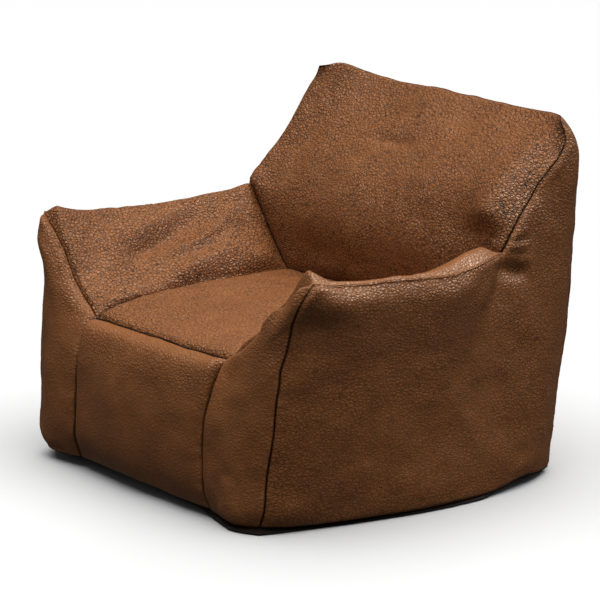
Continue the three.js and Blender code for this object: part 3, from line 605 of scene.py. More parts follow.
def panel_mesh(name):
    """Vertices (mm), quads, triangles and per-vertex data of a sewn panel with its thickness and seam allowance."""
    g = sew(name)
    P = g["P"]
    nu, nv = P.shape[0] - 1, P.shape[1] - 1
    ring = loop_of(nu, nv)
    flat = P.reshape(-1, 3)
    idx = np.arange((nu + 1) * (nv + 1)).reshape(nu + 1, nv + 1)
    quads = [np.stack([idx[:-1, :-1], idx[1:, :-1], idx[1:, 1:], idx[:-1, 1:]], -1).reshape(-1, 4)]
    # where the allowance goes: the seam's own inward direction
    b = np.zeros((nu + 1, nv + 1, 3))
    w = np.zeros((nu + 1, nv + 1, 1))
    side = np.zeros((nu + 1, nv + 1, 3))
    for e, sl in (("b", (slice(None), 0)), ("t", (slice(None), nv)), ("l", (0, slice(None))), ("r", (nu, slice(None)))):
        t = g["T"][e][sl]
        b[sl] += on_edge(name, e, t, INWARD)
        w[sl] += 1
        side[sl] += along(FRAME[(name, e)][1], t)
    b = unit(b.reshape(-1, 3)[ring])
    side = unit(side.reshape(-1, 3)[ring])
    rings = [ring]
    verts = [flat]
    base = len(flat)
    m = len(ring)
    short = np.ones((m, 1))                          # the edges beside the zip are only turned under
    if name.startswith("rear"):
        by_zip = np.abs(flat[ring][:, 2] - ZIP_Z) < 13
        short[by_zip, 0] = 0.1 + 0.9 * ease((np.abs(flat[ring][by_zip, 0]) - ZIP_END + 2) / 14)
    for ear in ("JE-", "JE+"):                       # trimmed short at the two sharp ears
        away = np.linalg.norm(g["grid_seam"][ring] - SEAM[ear][-1], axis=1)
        short[:, 0] *= 0.12 + 0.88 * ease((away - 14) / 34)
    for x in FLANGE:
        verts.append(flat[ring] + (b * x - side * 0.2) * short)
        new = np.arange(base, base + m)
        base += m
        prev = rings[-1]
        # the ring's order runs with the rim, so the allowance hangs off its outer side
        quads.append(np.stack([prev, new, np.roll(new, -1), np.roll(prev, -1)], -1))
        rings.append(new)
    V = np.vstack(verts)
    Q = np.vstack(quads)
    N = vertex_normals(V, Q)
    # the inner face, at half the density
    ci = idx[::2, ::2]
    nu2, nv2 = ci.shape[0] - 1, ci.shape[1] - 1
    thick = LEATHER
    inner_idx = np.arange(ci.size).reshape(ci.shape) + len(V)
    inner = V[ci.reshape(-1)] - N[ci.reshape(-1)] * thick
    q_in = np.stack([inner_idx[:-1, :-1], inner_idx[:-1, 1:], inner_idx[1:, 1:], inner_idx[1:, :-1]], -1).reshape(-1, 4)
    parts = [V, inner]
    quads_all = [Q, q_in]
    base = len(V) + len(inner)
    prev_in = inner_idx.reshape(-1)[loop_of(nu2, nv2)]
    for r in rings[1:]:
        rr = r[::2]
        parts.append(V[rr] - N[rr] * thick)
        new = np.arange(base, base + len(rr))
        base += len(rr)
        quads_all.append(np.stack([prev_in, np.roll(prev_in, -1), np.roll(new, -1), new], -1))
        prev_in = new
    out_ring = rings[-1]
    o0, o1, o2 = out_ring[0::2], out_ring[1::2], np.roll(out_ring, -2)[0::2]
    i0, i1 = prev_in, np.roll(prev_in, -1)
    tris = np.vstack([np.stack([o0, i0, o1], -1), np.stack([o1, i1, o2], -1), np.stack([o1, i0, i1], -1)])
    verts = np.vstack(parts)
    near = np.zeros(len(verts))
    near[:len(flat)] = g["shown"].reshape(-1)
    for k in range(len(FLANGE)):                     # the allowance takes the painted seam shade of its rim
        near[len(flat) + k * m:len(flat) + (k + 1) * m] = np.maximum(g["shown"].reshape(-1)[ring], 0)
    relief = np.ones(len(verts))
    if name in RELIEF:
        relief[:len(flat)] = RELIEF[name](g["plain"], g["S"]).reshape(-1)
    ink = np.ones(len(verts))
    ink[:len(flat)] = np.broadcast_to(CREASE_SHADE.get(name, lambda P, S: 0.7 + 0 * P[..., 0])(g["plain"], g["S"]), g["near"].shape).reshape(-1)
    uv = np.zeros((len(verts), 2))
    cu, cv = g["cu"], g["cv"]
    uv[:len(flat), 0] = (cu - cu[nu // 2]).reshape(-1)
    uv[:len(flat), 1] = (cv - cv[:, nv // 2:nv // 2 + 1]).reshape(-1)
    return verts, np.vstack(quads_all), tris, dict(near=near, relief=relief, ink=ink, uv=uv, grid=g)


def base_mesh():
    """The dark bottom panel: sewn under the rim, rolled down to the floor and flat where it stands."""
    runs = [("FF", 0), ("FO+", 0), ("OK+", 0), ("KK", 1), ("OK-", 1), ("FO-", 1)]
    line, sink, inn = [], [], []
    for k, back in runs:
        n = max(8, int(LENGTH[k] / 6.0))
        t = np.linspace(0, 1, n + 1)[:-1]
        t = 1 - t if back else t
        line.append(along(SEAM[k], t))
        sink.append(along(SINK[k], t))
        inn.append(along(INWARD[k], t))
    line, sink, inn = np.vstack(line), np.vstack(sink), np.vstack(inn)
    n = len(line)
    if n % 2:
        line, sink, inn = line[:-1], sink[:-1], inn[:-1]
        n -= 1
    tau = np.roll(line, -3, 0) - np.roll(line, 3, 0)
    tau[:, 2] = 0
    tau = unit(tau)
    m = np.stack([-tau[:, 1], tau[:, 0], np.zeros(n)], 1)           # inwards, level
    for _ in range(6):
        m = unit(m + np.roll(m, 1, 0) + np.roll(m, -1, 0))
    hz = line[:, 2:3]
    s = np.cumsum(np.linalg.norm(np.roll(line, -1, 0) - line, axis=1))
    pinch = 1 + 0.35 * noise2(s / 26, s * 0, 81) + 0.2 * noise2(s / 9, s * 0, 82)
    warped = warp(line + sink)
    rows = []
    down = np.array([0, 0, -1.0])
    rows.append(warped + inn * 9.5 + down * 0.9)
    rows.append(warped + inn * 4.0 + down * 0.6)
    rows.append(warped + down * 0.3)
    start = warped + down * 0.3
    rim = warp(line)
    # (how far in from the rim, share of the seam's height)
    # the rim shows at the front right corner and along the right side; at the front left the base lifts off the floor
    X, Y = line[:, 0:1], line[:, 1:2] - SY
    shown = ease((X - 150) / 120) * ease((230 - Y) / 120)
    lifted = ease((150 - X) / 160) * ease((60 - Y) / 160)
    tall = ((1.5, 0.86), (-0.8, 0.72), (-2.4, 0.55), (-2.6, 0.37), (-0.6, 0.2), (3.0, 0.08), (8.0, 0.02), (18.0, 0.0), (36.0, 0.0))
    tip = np.exp(-((X - 400) / 85) ** 2 - ((Y + 412) / 85) ** 2)
    tucked = ((3.0, 0.95), (7.0, 0.86), (14.0, 0.70), (24.0, 0.50), (36.0, 0.31), (49.0, 0.16), (63.0, 0.06), (76.0, 0.0), (92.0, 0.0))
    boat = ((5.0, 0.99), (20.0, 0.93), (46.0, 0.82), (80.0, 0.66), (115.0, 0.48), (150.0, 0.31), (182.0, 0.15), (212.0, 0.0), (235.0, 0.0))
    for (q1, f1), (q2, f2), (q3, f3) in zip(tall, tucked, boat):
        q = q1 * shown + q2 * (1 - shown)
        f = f1 * shown + f2 * (1 - shown)
        q = q * (1 - lifted) + q3 * lifted
        f = f * (1 - lifted) + f3 * lifted
        q = q - 13.0 * tip * (1 - f)
        p = rim + m * q
        p[:, 2] = (rim[:, 2:3] * f)[:, 0]
        bump = np.exp(-((f1 - 0.55) / 0.3) ** 2) * shown[:, 0]
        rows.append(p - m * (1.1 * (pinch - 1) * bump * 2.0)[:, None])
    inner = rows[-1]
    centre = np.array([0, inner[:, 1].mean(), 0.0])
    for f in (0.06, 0.14, 0.24, 0.36, 0.5, 0.65, 0.8, 0.92):
        rows.append(inner + (centre - inner) * f)
    G = np.stack(rows, 0)                                            # rows x n x 3
    k = G.shape[0]
    idx = np.arange(k * n).reshape(k, n)
    nxt = np.roll(idx, -1, 1)
    top = G.copy()
    # thickness: up where it lies flat, inwards and up at the rim
    up = np.zeros_like(G)
    for r in range(k):
        f = min(1.0, max(0.0, (r - 3) / 6))
        up[r] = unit(m * (1 - f) * 0.9 + np.array([0, 0, 1.0]) * (0.25 + 0.75 * f))
    up[:3] = [0, 0, -1.0]
    top = G + up * 1.4
    V = np.vstack([G.reshape(-1, 3), top.reshape(-1, 3), centre[None], centre[None] + [0, 0, 1.4]])
    a, b, c, d = idx[:-1], nxt[:-1], nxt[1:], idx[1:]
    # rows run inwards and columns anticlockwise from above: the outer face looks down
    q_out = np.stack([a, d, c, b], -1).reshape(-1, 4)
    o = k * n
    q_in = np.stack([a + o, b + o, c + o, d + o], -1).reshape(-1, 4)
    e = np.stack([idx[0], nxt[0], nxt[0] + o, idx[0] + o], -1)
    t_out = np.stack([idx[-1], np.full(n, 2 * o), nxt[-1]], -1)
    t_in = np.stack([idx[-1] + o, nxt[-1] + o, np.full(n, 2 * o + 1)], -1)
    near = np.full(len(V), 40.0)
    near[:o] = np.repeat(np.array([0, 0, 0, 2, 4, 6, 9, 13, 20, 28] + [40] * (k - 10), float), n)
    return V, np.vstack([q_out, q_in, e]), np.vstack([t_out, t_in]), near, q_out[3 * n:]

# ================================================================ this chair's own folds, dents and uneven corners
def bump_by(s, rise, fall):
    return (1 - np.exp(-(s / rise) ** 2)) * np.exp(-(s / fall) ** 2)


def around(P, name, radius, side):
    c = np.array(PT[name], float) * [side, 1, 1] + [0, SY, 0]
    return np.exp(-(((P - c) / radius) ** 2).sum(-1))


_tip = np.array(PT["A"], float) * [-1, 1, 1]
WARPS += [
    ((-432, 414, 800), (170, 160, 120), (-2, -8, 24)),      # the left ear stands higher
    ((-60, 468, 800), (240, 120, 90), (0, 0, 11)),
    ((430, 440, 805), (60, 80, 60), (6, 0, -2)),
    ((432, 414, 797), (42, 42, 42), (-6, -6, 9)),
    ((-450, 221, 545), (40, 45, 42), (0, -6, 20)),          # the left arm swells up where it meets the back
    ((-445, 120, 520), (40, 70, 50), (0, 0, -9)),
    ((-452, 300, 660), (60, 90, 130), (2, -12, 0)),
    (tuple(_tip), (42, 42, 36), (-8, -9, 0)),
    ((385, 425, 800), (60, 60, 60), (0, 0, -6)),
    ((-434, 404, 816), (34, 42, 30), (3, 3, 0)),
    ((-464, 400, 806), (22, 52, 42), (10, 0, 0)),
    ((-434, 434, 812), (28, 19, 28), (10, 6, -7)),
    ((-458, -392, 486), (40, 60, 42), (-5, -4, 2)),
    ((-100, -440, 10), (300, 60, 45), (0, 0, 14)),          # the front lifts off the floor towards the left
    ((-406, -410, 10), (90, 90, 45), (0, 4, 11)),
    ((486, 262, 10), (80, 75, 45), (0, -2, 13)),
]

def inner_arm_extra(side):
    def f(P, N, S, T, L):
        sa = S["r"] if side > 0 else S["l"]                 # seam to the arm's front
        sb = S["l"] if side > 0 else S["r"]                 # seam to the back
        st = S["t"]                                         # seam to the outer side
        fj = T["t"] if side > 0 else 1 - T["t"]             # 0 at the back, 1 at the tip
        h = 9.0 * bump_by(sa, 6, 30) + 6.0 * bump_by(st, 7, 34)
        if side > 0:
            h += 9.0 * bump_by(sa, 7, 30) * (around(P, "S", 120, side) + around(P, "A", 80, side))
        h += 20.0 * around(P, "A", 58, side) * (1 - np.exp(-(np.minimum(sa, st) / 9.0) ** 2))
        h += (36.0 if side > 0 else 20.0) * bump_by(st, 20, 75) * ease((0.52 - fj) / 0.36) * (1 - np.exp(-(sb / 26.0) ** 2))
        # low on the panel the fill hangs over the seat
        h += (24.0 if side < 0 else 13.0) * bump_by(S["b"], 24, 70) * ease((sb - 5) / 60) * ease((sa - 190) / 150)
        h -= 8.0 * bump_by(S["b"], 10, 34) * ease((260 - sa) / 120)
        return h
    return f


def arm_front_extra(side):
    def f(P, N, S, T, L):
        s = np.minimum(S["t"], S["r"] if side > 0 else S["l"])
        h = (14.0 if side > 0 else 5.0) * around(P, "A", 60, side) * (1 - np.exp(-(s / 9.0) ** 2))
        if side < 0:
            h += 14.0 * around(P, "A", 40, side) * (1 - np.exp(-(s / 5.0) ** 2))
        h += 5.0 * bump_by(S["t"], 9, 36) + 4.0 * bump_by(S["l"] if side > 0 else S["r"], 8, 34) + 3.0 * bump_by(S["r"] if side > 0 else S["l"], 8, 30)
        return h
    return f


def side_extra(side):
    def f(P, N, S, T, L):
        front = S["l"] if side > 0 else S["r"]
        s = np.minimum(S["t"], front)
        h = (10.0 if side > 0 else 18.0) * around(P, "A", 62, side) * (1 - np.exp(-(s / 9.0) ** 2))
        h += 6.0 * around(P, "E", 90, side) * (1 - np.exp(-(np.minimum(S["t"], S["r"] if side > 0 else S["l"]) / 10.0) ** 2))
        arm = ease((205 + SY - P[..., 1]) / 190)             # a broad roll along the arm, a narrow one up the back
        h += arm * (0.5 + 0.5 * ease((SY - 70 - P[..., 1]) / 170)) * 26.0 * bump_by(S["t"], 25, 480) * (1 - np.exp(-(front / 55.0) ** 2)) * (1 if side > 0 else 0.6) + (1 - arm) * 4.0 * bump_by(S["t"], 8, 40)
        h += 3.0 * bump_by(front, 8, 46)
        # below the arm's tip the side falls in a little
        c = np.array(PT["A"], float) * [side, 1, 1] + [0, SY, -105]
        h -= 12.0 * np.exp(-(((P - c) / [60, 60, 60]) ** 2).sum(-1)) * (1 - np.exp(-(front / 14.0) ** 2))
        return h
    return f


EXTRA["right_inner_arm_panel"] = inner_arm_extra(1)
EXTRA["left_inner_arm_panel"] = inner_arm_extra(-1)
EXTRA["right_arm_front_panel"] = arm_front_extra(1)
EXTRA["left_arm_front_panel"] = arm_front_extra(-1)
EXTRA["right_side_panel"] = side_extra(1)
EXTRA["left_side_panel"] = side_extra(-1)


def seat_extra(P, N, S, T, L):
    # the fill is pressed up against the front and the sides
    pinched = 4.5 * np.exp(-((S["r"] - 6.5) / 4.0) ** 2) * ease((SY - 235 - P[..., 1]) / 60)       # the seam allowance shows as a lip at the front right
    return pinched + 5.0 * bump_by(S["b"], 9, 60) + 3.0 * bump_by(S["r"], 14, 60) + 3.0 * bump_by(S["l"], 14, 60)


def seat_front_extra(P, N, S, T, L):
    return 22.0 * bump_by(S["t"], 23, 90) + 4.0 * bump_by(S["r"], 8, 40) + 3.0 * bump_by(S["l"], 8, 40)


def backrest_extra(P, N, S, T, L):
    by_seam = np.exp(-(S["r"] / 110.0) ** 2)
    up = ease((P[..., 2] - 560) / 90) * (1 - by_seam) + ease((P[..., 2] - 552) / 45) * (1 + 0.8 * ease((730 - P[..., 2]) / 130)) * by_seam
    return up * 34.0 * bump_by(S["r"], 40, 320) * (1 - 0.93 * np.exp(-(S["t"] / 85.0) ** 2))


EXTRA["backrest_panel"] = backrest_extra
EXTRA["seat_panel"] = seat_extra
EXTRA["seat_front_panel"] = seat_front_extra

LIP.update({
    ("right_inner_arm_panel", "r"): (4.0, 8, 6), ("left_inner_arm_panel", "l"): (2.0, 7, 6),
    ("left_arm_front_panel", "t"): (3.0, 3.4, 2.6), ("right_arm_front_panel", "t"): (1.2, 3.0, 2.4),
    ("right_side_panel", "l"): (1.5, 2.8, 2.2), ("left_side_panel", "r"): (1.5, 2.8, 2.2),
    ("right_side_panel", "t"): (1.5, 2.8, 2.2), ("left_side_panel", "t"): (1.5, 2.8, 2.2),
    ("seat_panel", "r"): (2.2, 5.0, 3.4), ("seat_panel", "l"): (0.8, 6.0, 4.0),
    ("seat_front_panel", "r"): (1.2, 5.0, 3.0), ("right_arm_front_panel", "l"): (1.6, 5.0, 3.0), ("right_arm_front_panel", "r"): (1.4, 3.4, 2.4),
    ("left_arm_front_panel", "r"): (1.4, 4.0, 2.6), ("seat_front_panel", "l"): (0.4, 4.0, 2.6),
})
for _s in "+-":
    x = np.linspace(0, 1, NS)[:, None]
    ROLLS["AJ" + _s] = ROLLS["AJ" + _s] * 1.3
ROLLS["SF+"] = ROLLS["SF+"] * 1.25
ROLLS["SF-"] = ROLLS["SF-"] * 1.5
ROLL_SCALE.update({("left_inner_arm_panel", "l"): 0.55, ("right_side_panel", "t"): 1.5, ("left_side_panel", "t"): 1.5})
PUCKER.update({
    ("left_arm_front_panel", "t"): (1.5, 8.0, 16.0), ("right_side_panel", "l"): (1.0, 8.0, 18.0),
    ("left_inner_arm_panel", "l"): (1.3, 9.0, 22.0), ("right_side_panel", "t"): (1.0, 9.0, 16.0),
    ("seat_panel", "b"): (0.5, 12.0, 14.0), ("seat_panel", "l"): (0.5, 12.0, 16.0), ("seat_panel", "r"): (0.5, 12.0, 16.0),
    ("backrest_panel", "t"): (0.6, 12.0, 12.0), ("rear_upper_panel", "t"): (0.6, 12.0, 12.0),
    ("left_arm_front_panel", "r"): (1.7, 7.0, 7.0), ("seat_front_panel", "l"): (1.7, 7.0, 7.0),
    ("right_arm_front_panel", "b"): (1.8, 10.0, 26.0), ("right_arm_front_panel", "l"): (1.0, 12.0, 14.0), ("seat_front_panel", "r"): (1.0, 12.0, 14.0), ("seat_front_panel", "b"): (0.8, 12.0, 14.0),
})

FOLDS["left_inner_arm_panel"] = [
    # a bright ridge runs from the seat's corner up to the back, with the fill hanging over the seat below it
    (([(-272, -330, 366), (-270, -322, 367), (-267, -240, 383), (-271, -166, 396), (-282, -99, 414), (-307, -26, 428), (-325, 48, 443), (-373, 119, 481), (-405, 165, 515)], 17, 12), dict(fade=0.12)),
    (([(-274, -130, 400), (-282, -99, 414), (-300, -30, 426), (-318, 48, 438), (-345, 110, 462)], 25, 16), dict(fade=0.25)),
    (([(-272, -120, 392), (-285, -60, 396), (-290, 20, 400), (-300, 120, 405)], 22, -9), dict(fade=0.3)),
    # hollows that fan out from the corner at the back
    (([(-350, -235, 425), (-380, -150, 445), (-402, -60, 466), (-424, 10, 489), (-438, 66, 514)], 27, -25), dict(fade=0.3, snap=True)),
    (([(-400, -180, 470), (-430, -90, 495), (-450, 0, 512)], 16, 5), dict(fade=0.35)),
    (([(-332, -150, 430), (-350, -70, 446), (-372, 30, 462), (-402, 110, 490), (-425, 160, 530)], 13, 12), dict(fade=0.3, snap=True)),
    (([(-362, -130, 446), (-400, -30, 474), (-428, 60, 503)], 11, 4), dict(fade=0.3)),
    (([(-345, 80, 460), (-385, 140, 500), (-415, 175, 530)], 9, -5), dict(fade=0.3)),
    (([(-330, 60, 430), (-350, 130, 455), (-390, 180, 500)], 9, 4), dict(fade=0.3)),
    (([(-300, 60, 415), (-312, 130, 430), (-345, 180, 462)], 14, -5), dict(fade=0.3)),
    (([(-372, -215, 452), (-395, -110, 474), (-425, 10, 500)], 9, 3.0), dict(fade=0.35)),
    (([(-340, -290, 430), (-400, -270, 470), (-450, -250, 505)], 18, -4.0), dict(fade=0.3)),
]
FOLDS["right_inner_arm_panel"] = [
    (([(300, -240, 388), (320, -120, 405), (350, 0, 440), (390, 110, 485)], 34, 10), dict(fade=0.25)),
    (([(370, -180, 455), (400, -60, 480), (425, 60, 500)], 24, -8), dict(fade=0.3)),
    (([(405, 168, 505), (428, 190, 532), (446, 206, 542)], 7, -10), dict(fade=0.2, snap=True)),
    (([(420, 160, 520), (440, 185, 538)], 7, 6), dict(fade=0.2, snap=True)),
]
FOLDS["right_side_panel"] = [
    # the corner where arm, back and side meet pulls the leatherette in: a hollow below, small wrinkles beside it
    (([(462, 196, 506), (466, 236, 492), (470, 290, 478)], 19, -12), dict(fade=0.28, snap=True)),
    (([(466, 250, 500), (470, 300, 510)], 12, 3.5), dict(fade=0.3)),
    (([(462, 215, 546), (465, 255, 543), (466, 300, 536)], 6, 3.2), dict(fade=0.3)),
    (([(460, 218, 552), (463, 262, 556), (464, 300, 556)], 5, -2.2), dict(fade=0.3)),
    (([(460, 225, 562), (463, 265, 572), (464, 290, 580)], 5, 2.0), dict(fade=0.3)),
    (([(462, 212, 536), (466, 252, 530), (468, 290, 520)], 5, -2.2), dict(fade=0.3)),
    (([(470, 190, 505), (486, 150, 470), (498, 110, 420)], 22, 4.0), dict(fade=0.3)),
    (([(455, 300, 640), (452, 345, 660), (450, 400, 670)], 40, -4.0), dict(fade=0.3)),
    (([(480, 260, 400), (490, 200, 300), (492, 150, 200)], 60, -3.5), dict(fade=0.3)),
    (([(470, -300, 470), (455, -330, 380), (448, -350, 280)], 26, 4.0), dict(fade=0.3)),
]
FOLDS["left_side_panel"] = [
    (([(-462, 205, 522), (-466, 245, 512), (-468, 300, 496)], 17, -8), dict(fade=0.28)),
    (([(-462, 215, 546), (-465, 255, 543), (-466, 300, 536)], 6, 3.0), dict(fade=0.3)),
    (([(-460, 225, 562), (-463, 265, 572), (-464, 290, 580)], 5, 2.0), dict(fade=0.3)),
    (([(-480, 240, 400), (-490, 160, 300), (-492, 100, 200)], 60, -4.0), dict(fade=0.3)),
    (([(-470, -280, 470), (-458, -300, 380), (-450, -330, 280)], 30, 4.0), dict(fade=0.3)),
]
FOLDS["left_arm_front_panel"] = [
    (([(-300, -380, 352), (-330, -385, 372), (-370, -378, 420)], 16, 3.0), dict(fade=0.3)),
    (([(-420, -405, 300), (-400, -420, 220), (-390, -425, 140)], 40, -3.0), dict(fade=0.3)),
    (([(-280, -425, 26), (-330, -432, 24), (-390, -418, 22)], 8, -5.0), dict(fade=0.25)),
]
FOLDS["right_arm_front_panel"] = [
    (([(275, -395, 330), (330, -385, 372), (390, -372, 430), (440, -360, 480)], 20, 6.0), dict(fade=0.2)),
    (([(372, -370, 425), (405, -362, 460), (432, -356, 488)], 13, 9.0), dict(fade=0.25, snap=True)),
    (([(290, -430, 40), (340, -438, 30), (390, -425, 40)], 26, 6.0), dict(fade=0.25)),
    (([(330, -435, 120), (340, -438, 80), (345, -438, 40)], 18, 4.0), dict(fade=0.3)),
]
FOLDS["backrest_panel"] = [
    (([(-330, 215, 420), (-150, 222, 436), (60, 225, 438), (280, 218, 440)], 46, -7.0), dict(fade=0.25)),
    (([(-190, 338, 690), (-72, 340, 697), (30, 340, 690)], 14, -6.0), dict(fade=0.35, snap=True)),
    (([(-200, 365, 725), (0, 370, 735), (180, 365, 725)], 24, 3.0), dict(fade=0.35)),
    (([(350, 300, 600), (390, 260, 560), (400, 230, 520)], 34, 6.0), dict(fade=0.25)),
    (([(-300, 420, 760), (-200, 430, 770), (-80, 425, 760)], 40, -3.0), dict(fade=0.3)),
    (([(-425, 240, 560), (-405, 235, 520), (-380, 225, 470)], 16, 7.0), dict(fade=0.3)),
]

# small wrinkles where the seams meet at the front corners and at the arms' tips
FOLDS["left_arm_front_panel"] += [
    (([(-266, -374, 352), (-290, -384, 350), (-318, -388, 340)], 4.0, 2.2), dict(fade=0.3)),
    (([(-268, -380, 338), (-292, -390, 330), (-322, -394, 315)], 4.0, 2.2), dict(fade=0.3)),
    (([(-272, -372, 362), (-296, -380, 366), (-325, -384, 366)], 4.0, -2.0), dict(fade=0.3)),
    (([(-262, -388, 325), (-282, -400, 314), (-305, -406, 298)], 4.5, -2.0), dict(fade=0.3)),
    (([(-266, -382, 345), (-286, -392, 340), (-312, -396, 328)], 3.0, -1.8), dict(fade=0.3)),
]
FOLDS["right_arm_front_panel"] += [
    (([(266, -374, 352), (290, -384, 356), (330, -386, 360)], 6.0, 2.5), dict(fade=0.3)),
    (([(262, -388, 325), (290, -402, 318), (330, -408, 305)], 7.0, -2.2), dict(fade=0.3)),
]


def _near(S, e, reach):
    return np.exp(-S[e] / reach)


# each seam's painted shade shifted: negative widens the dark band beside it, positive lifts it
for _k, _f in {"SF-": -3.2, "SF+": -1.2, "SS": -0.6, "AJ+": 2.2, "AJ-": 2.2, "AS-": 2.4}.items():
    FAINT[_k] = FAINT[_k] + _f
RELIEF["seat_panel"] = lambda P, S: 1.3 + 0.4 * ease((60 - P[..., 0]) / 260) * ease((-60 - P[..., 1]) / 200) + 0.3 * _near(S, "b", 30.0)
RELIEF["seat_front_panel"] = lambda P, S: 0.45 + 0.35 * ease((P[..., 2] - 230) / 60)
RELIEF["right_arm_front_panel"] = lambda P, S: 0.5 + 0.3 * ease((P[..., 2] - 330) / 80)
RELIEF["left_arm_front_panel"] = lambda P, S: 0.5 + 0.7 * _near(S, "t", 40.0)
RELIEF["right_side_panel"] = lambda P, S: 0.55 + 0.4 * _near(S, "t", 60.0)
RELIEF["left_side_panel"] = lambda P, S: 0.55 + 0.4 * _near(S, "t", 60.0)
RELIEF["left_inner_arm_panel"] = lambda P, S: 1.5 + 0.0 * P[..., 0]
RELIEF["right_inner_arm_panel"] = lambda P, S: 0.7 + 0.0 * P[..., 0]
RELIEF["backrest_panel"] = lambda P, S: 0.85 + 0.35 * _near(S, "r", 110.0) + 0.3 * _near(S, "l", 60.0)
RELIEF["rear_upper_panel"] = lambda P, S: 0.6 + 0.0 * P[..., 0]
RELIEF["rear_lower_panel"] = lambda P, S: 0.6 + 0.0 * P[..., 0]
# per panel, how strongly the grain's creases are darkened: painted shade there, with some darker dye
CREASE_SHADE["seat_panel"] = lambda P, S: 1.35 + 0.3 * ease((60 - P[..., 0]) / 260)
CREASE_SHADE["seat_front_panel"] = lambda P, S: 0.4 + 0.4 * ease((P[..., 2] - 230) / 60)
CREASE_SHADE["right_arm_front_panel"] = lambda P, S: 0.45 + 0.0 * P[..., 0]
CREASE_SHADE["left_arm_front_panel"] = lambda P, S: 0.4 + 1.0 * _near(S, "t", 40.0)
CREASE_SHADE["right_side_panel"] = lambda P, S: 1.1 + 0.1 * _near(S, "t", 60.0)
CREASE_SHADE["left_side_panel"] = lambda P, S: 1.1 + 0.1 * _near(S, "t", 60.0)
CREASE_SHADE["left_inner_arm_panel"] = lambda P, S: 1.95 + 0.0 * P[..., 0]
CREASE_SHADE["right_inner_arm_panel"] = lambda P, S: 0.7 + 0.0 * P[..., 0]
CREASE_SHADE["backrest_panel"] = lambda P, S: 1.7 + 0.5 * _near(S, "r", 110.0) + 0.2 * _near(S, "l", 60.0)

# ================================================================ Blender objects
M = 0.001


def new_object(name, verts, quads, tris=None, body="chair", material=None, uv=None, data=None, smooth=True, scale=M):
    me = bpy.data.meshes.new(name)
    faces = [np.asarray(quads, np.int32)] if quads is not None and len(quads) else []
    nq = sum(len(f) for f in faces)
    nt = 0 if tris is None else len(tris)
    me.vertices.add(len(verts))
    me.vertices.foreach_set("co", (np.asarray(verts, np.float32) * scale).ravel())
    loops = np.concatenate([f.ravel() for f in faces] + ([np.asarray(tris, np.int32).ravel()] if nt else []))
    me.loops.add(len(loops))
    me.loops.foreach_set("vertex_index", loops)
    start = np.concatenate([np.arange(nq) * 4, nq * 4 + np.arange(nt) * 3]).astype(np.int32)
    me.polygons.add(nq + nt)
    me.polygons.foreach_set("loop_start", start)
    me.polygons.foreach_set("use_smooth", np.full(nq + nt, bool(smooth)))
    me.update(calc_edges=True)
    if uv is not None:
        layer = me.uv_layers.new(name="UVMap")
        layer.data.foreach_set("uv", (np.asarray(uv, np.float32)[loops]).ravel())
    for key, values in (data or {}).items():
        at = me.attributes.new(key, "FLOAT", "POINT")
        at.data.foreach_set("value", np.asarray(values, np.float32))
    me.validate()
    o = bpy.data.objects.new(name, me)
    bpy.context.scene.collection.objects.link(o)
    if material:
        me.materials.append(material)
    if body:
        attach(o, body)
    return o


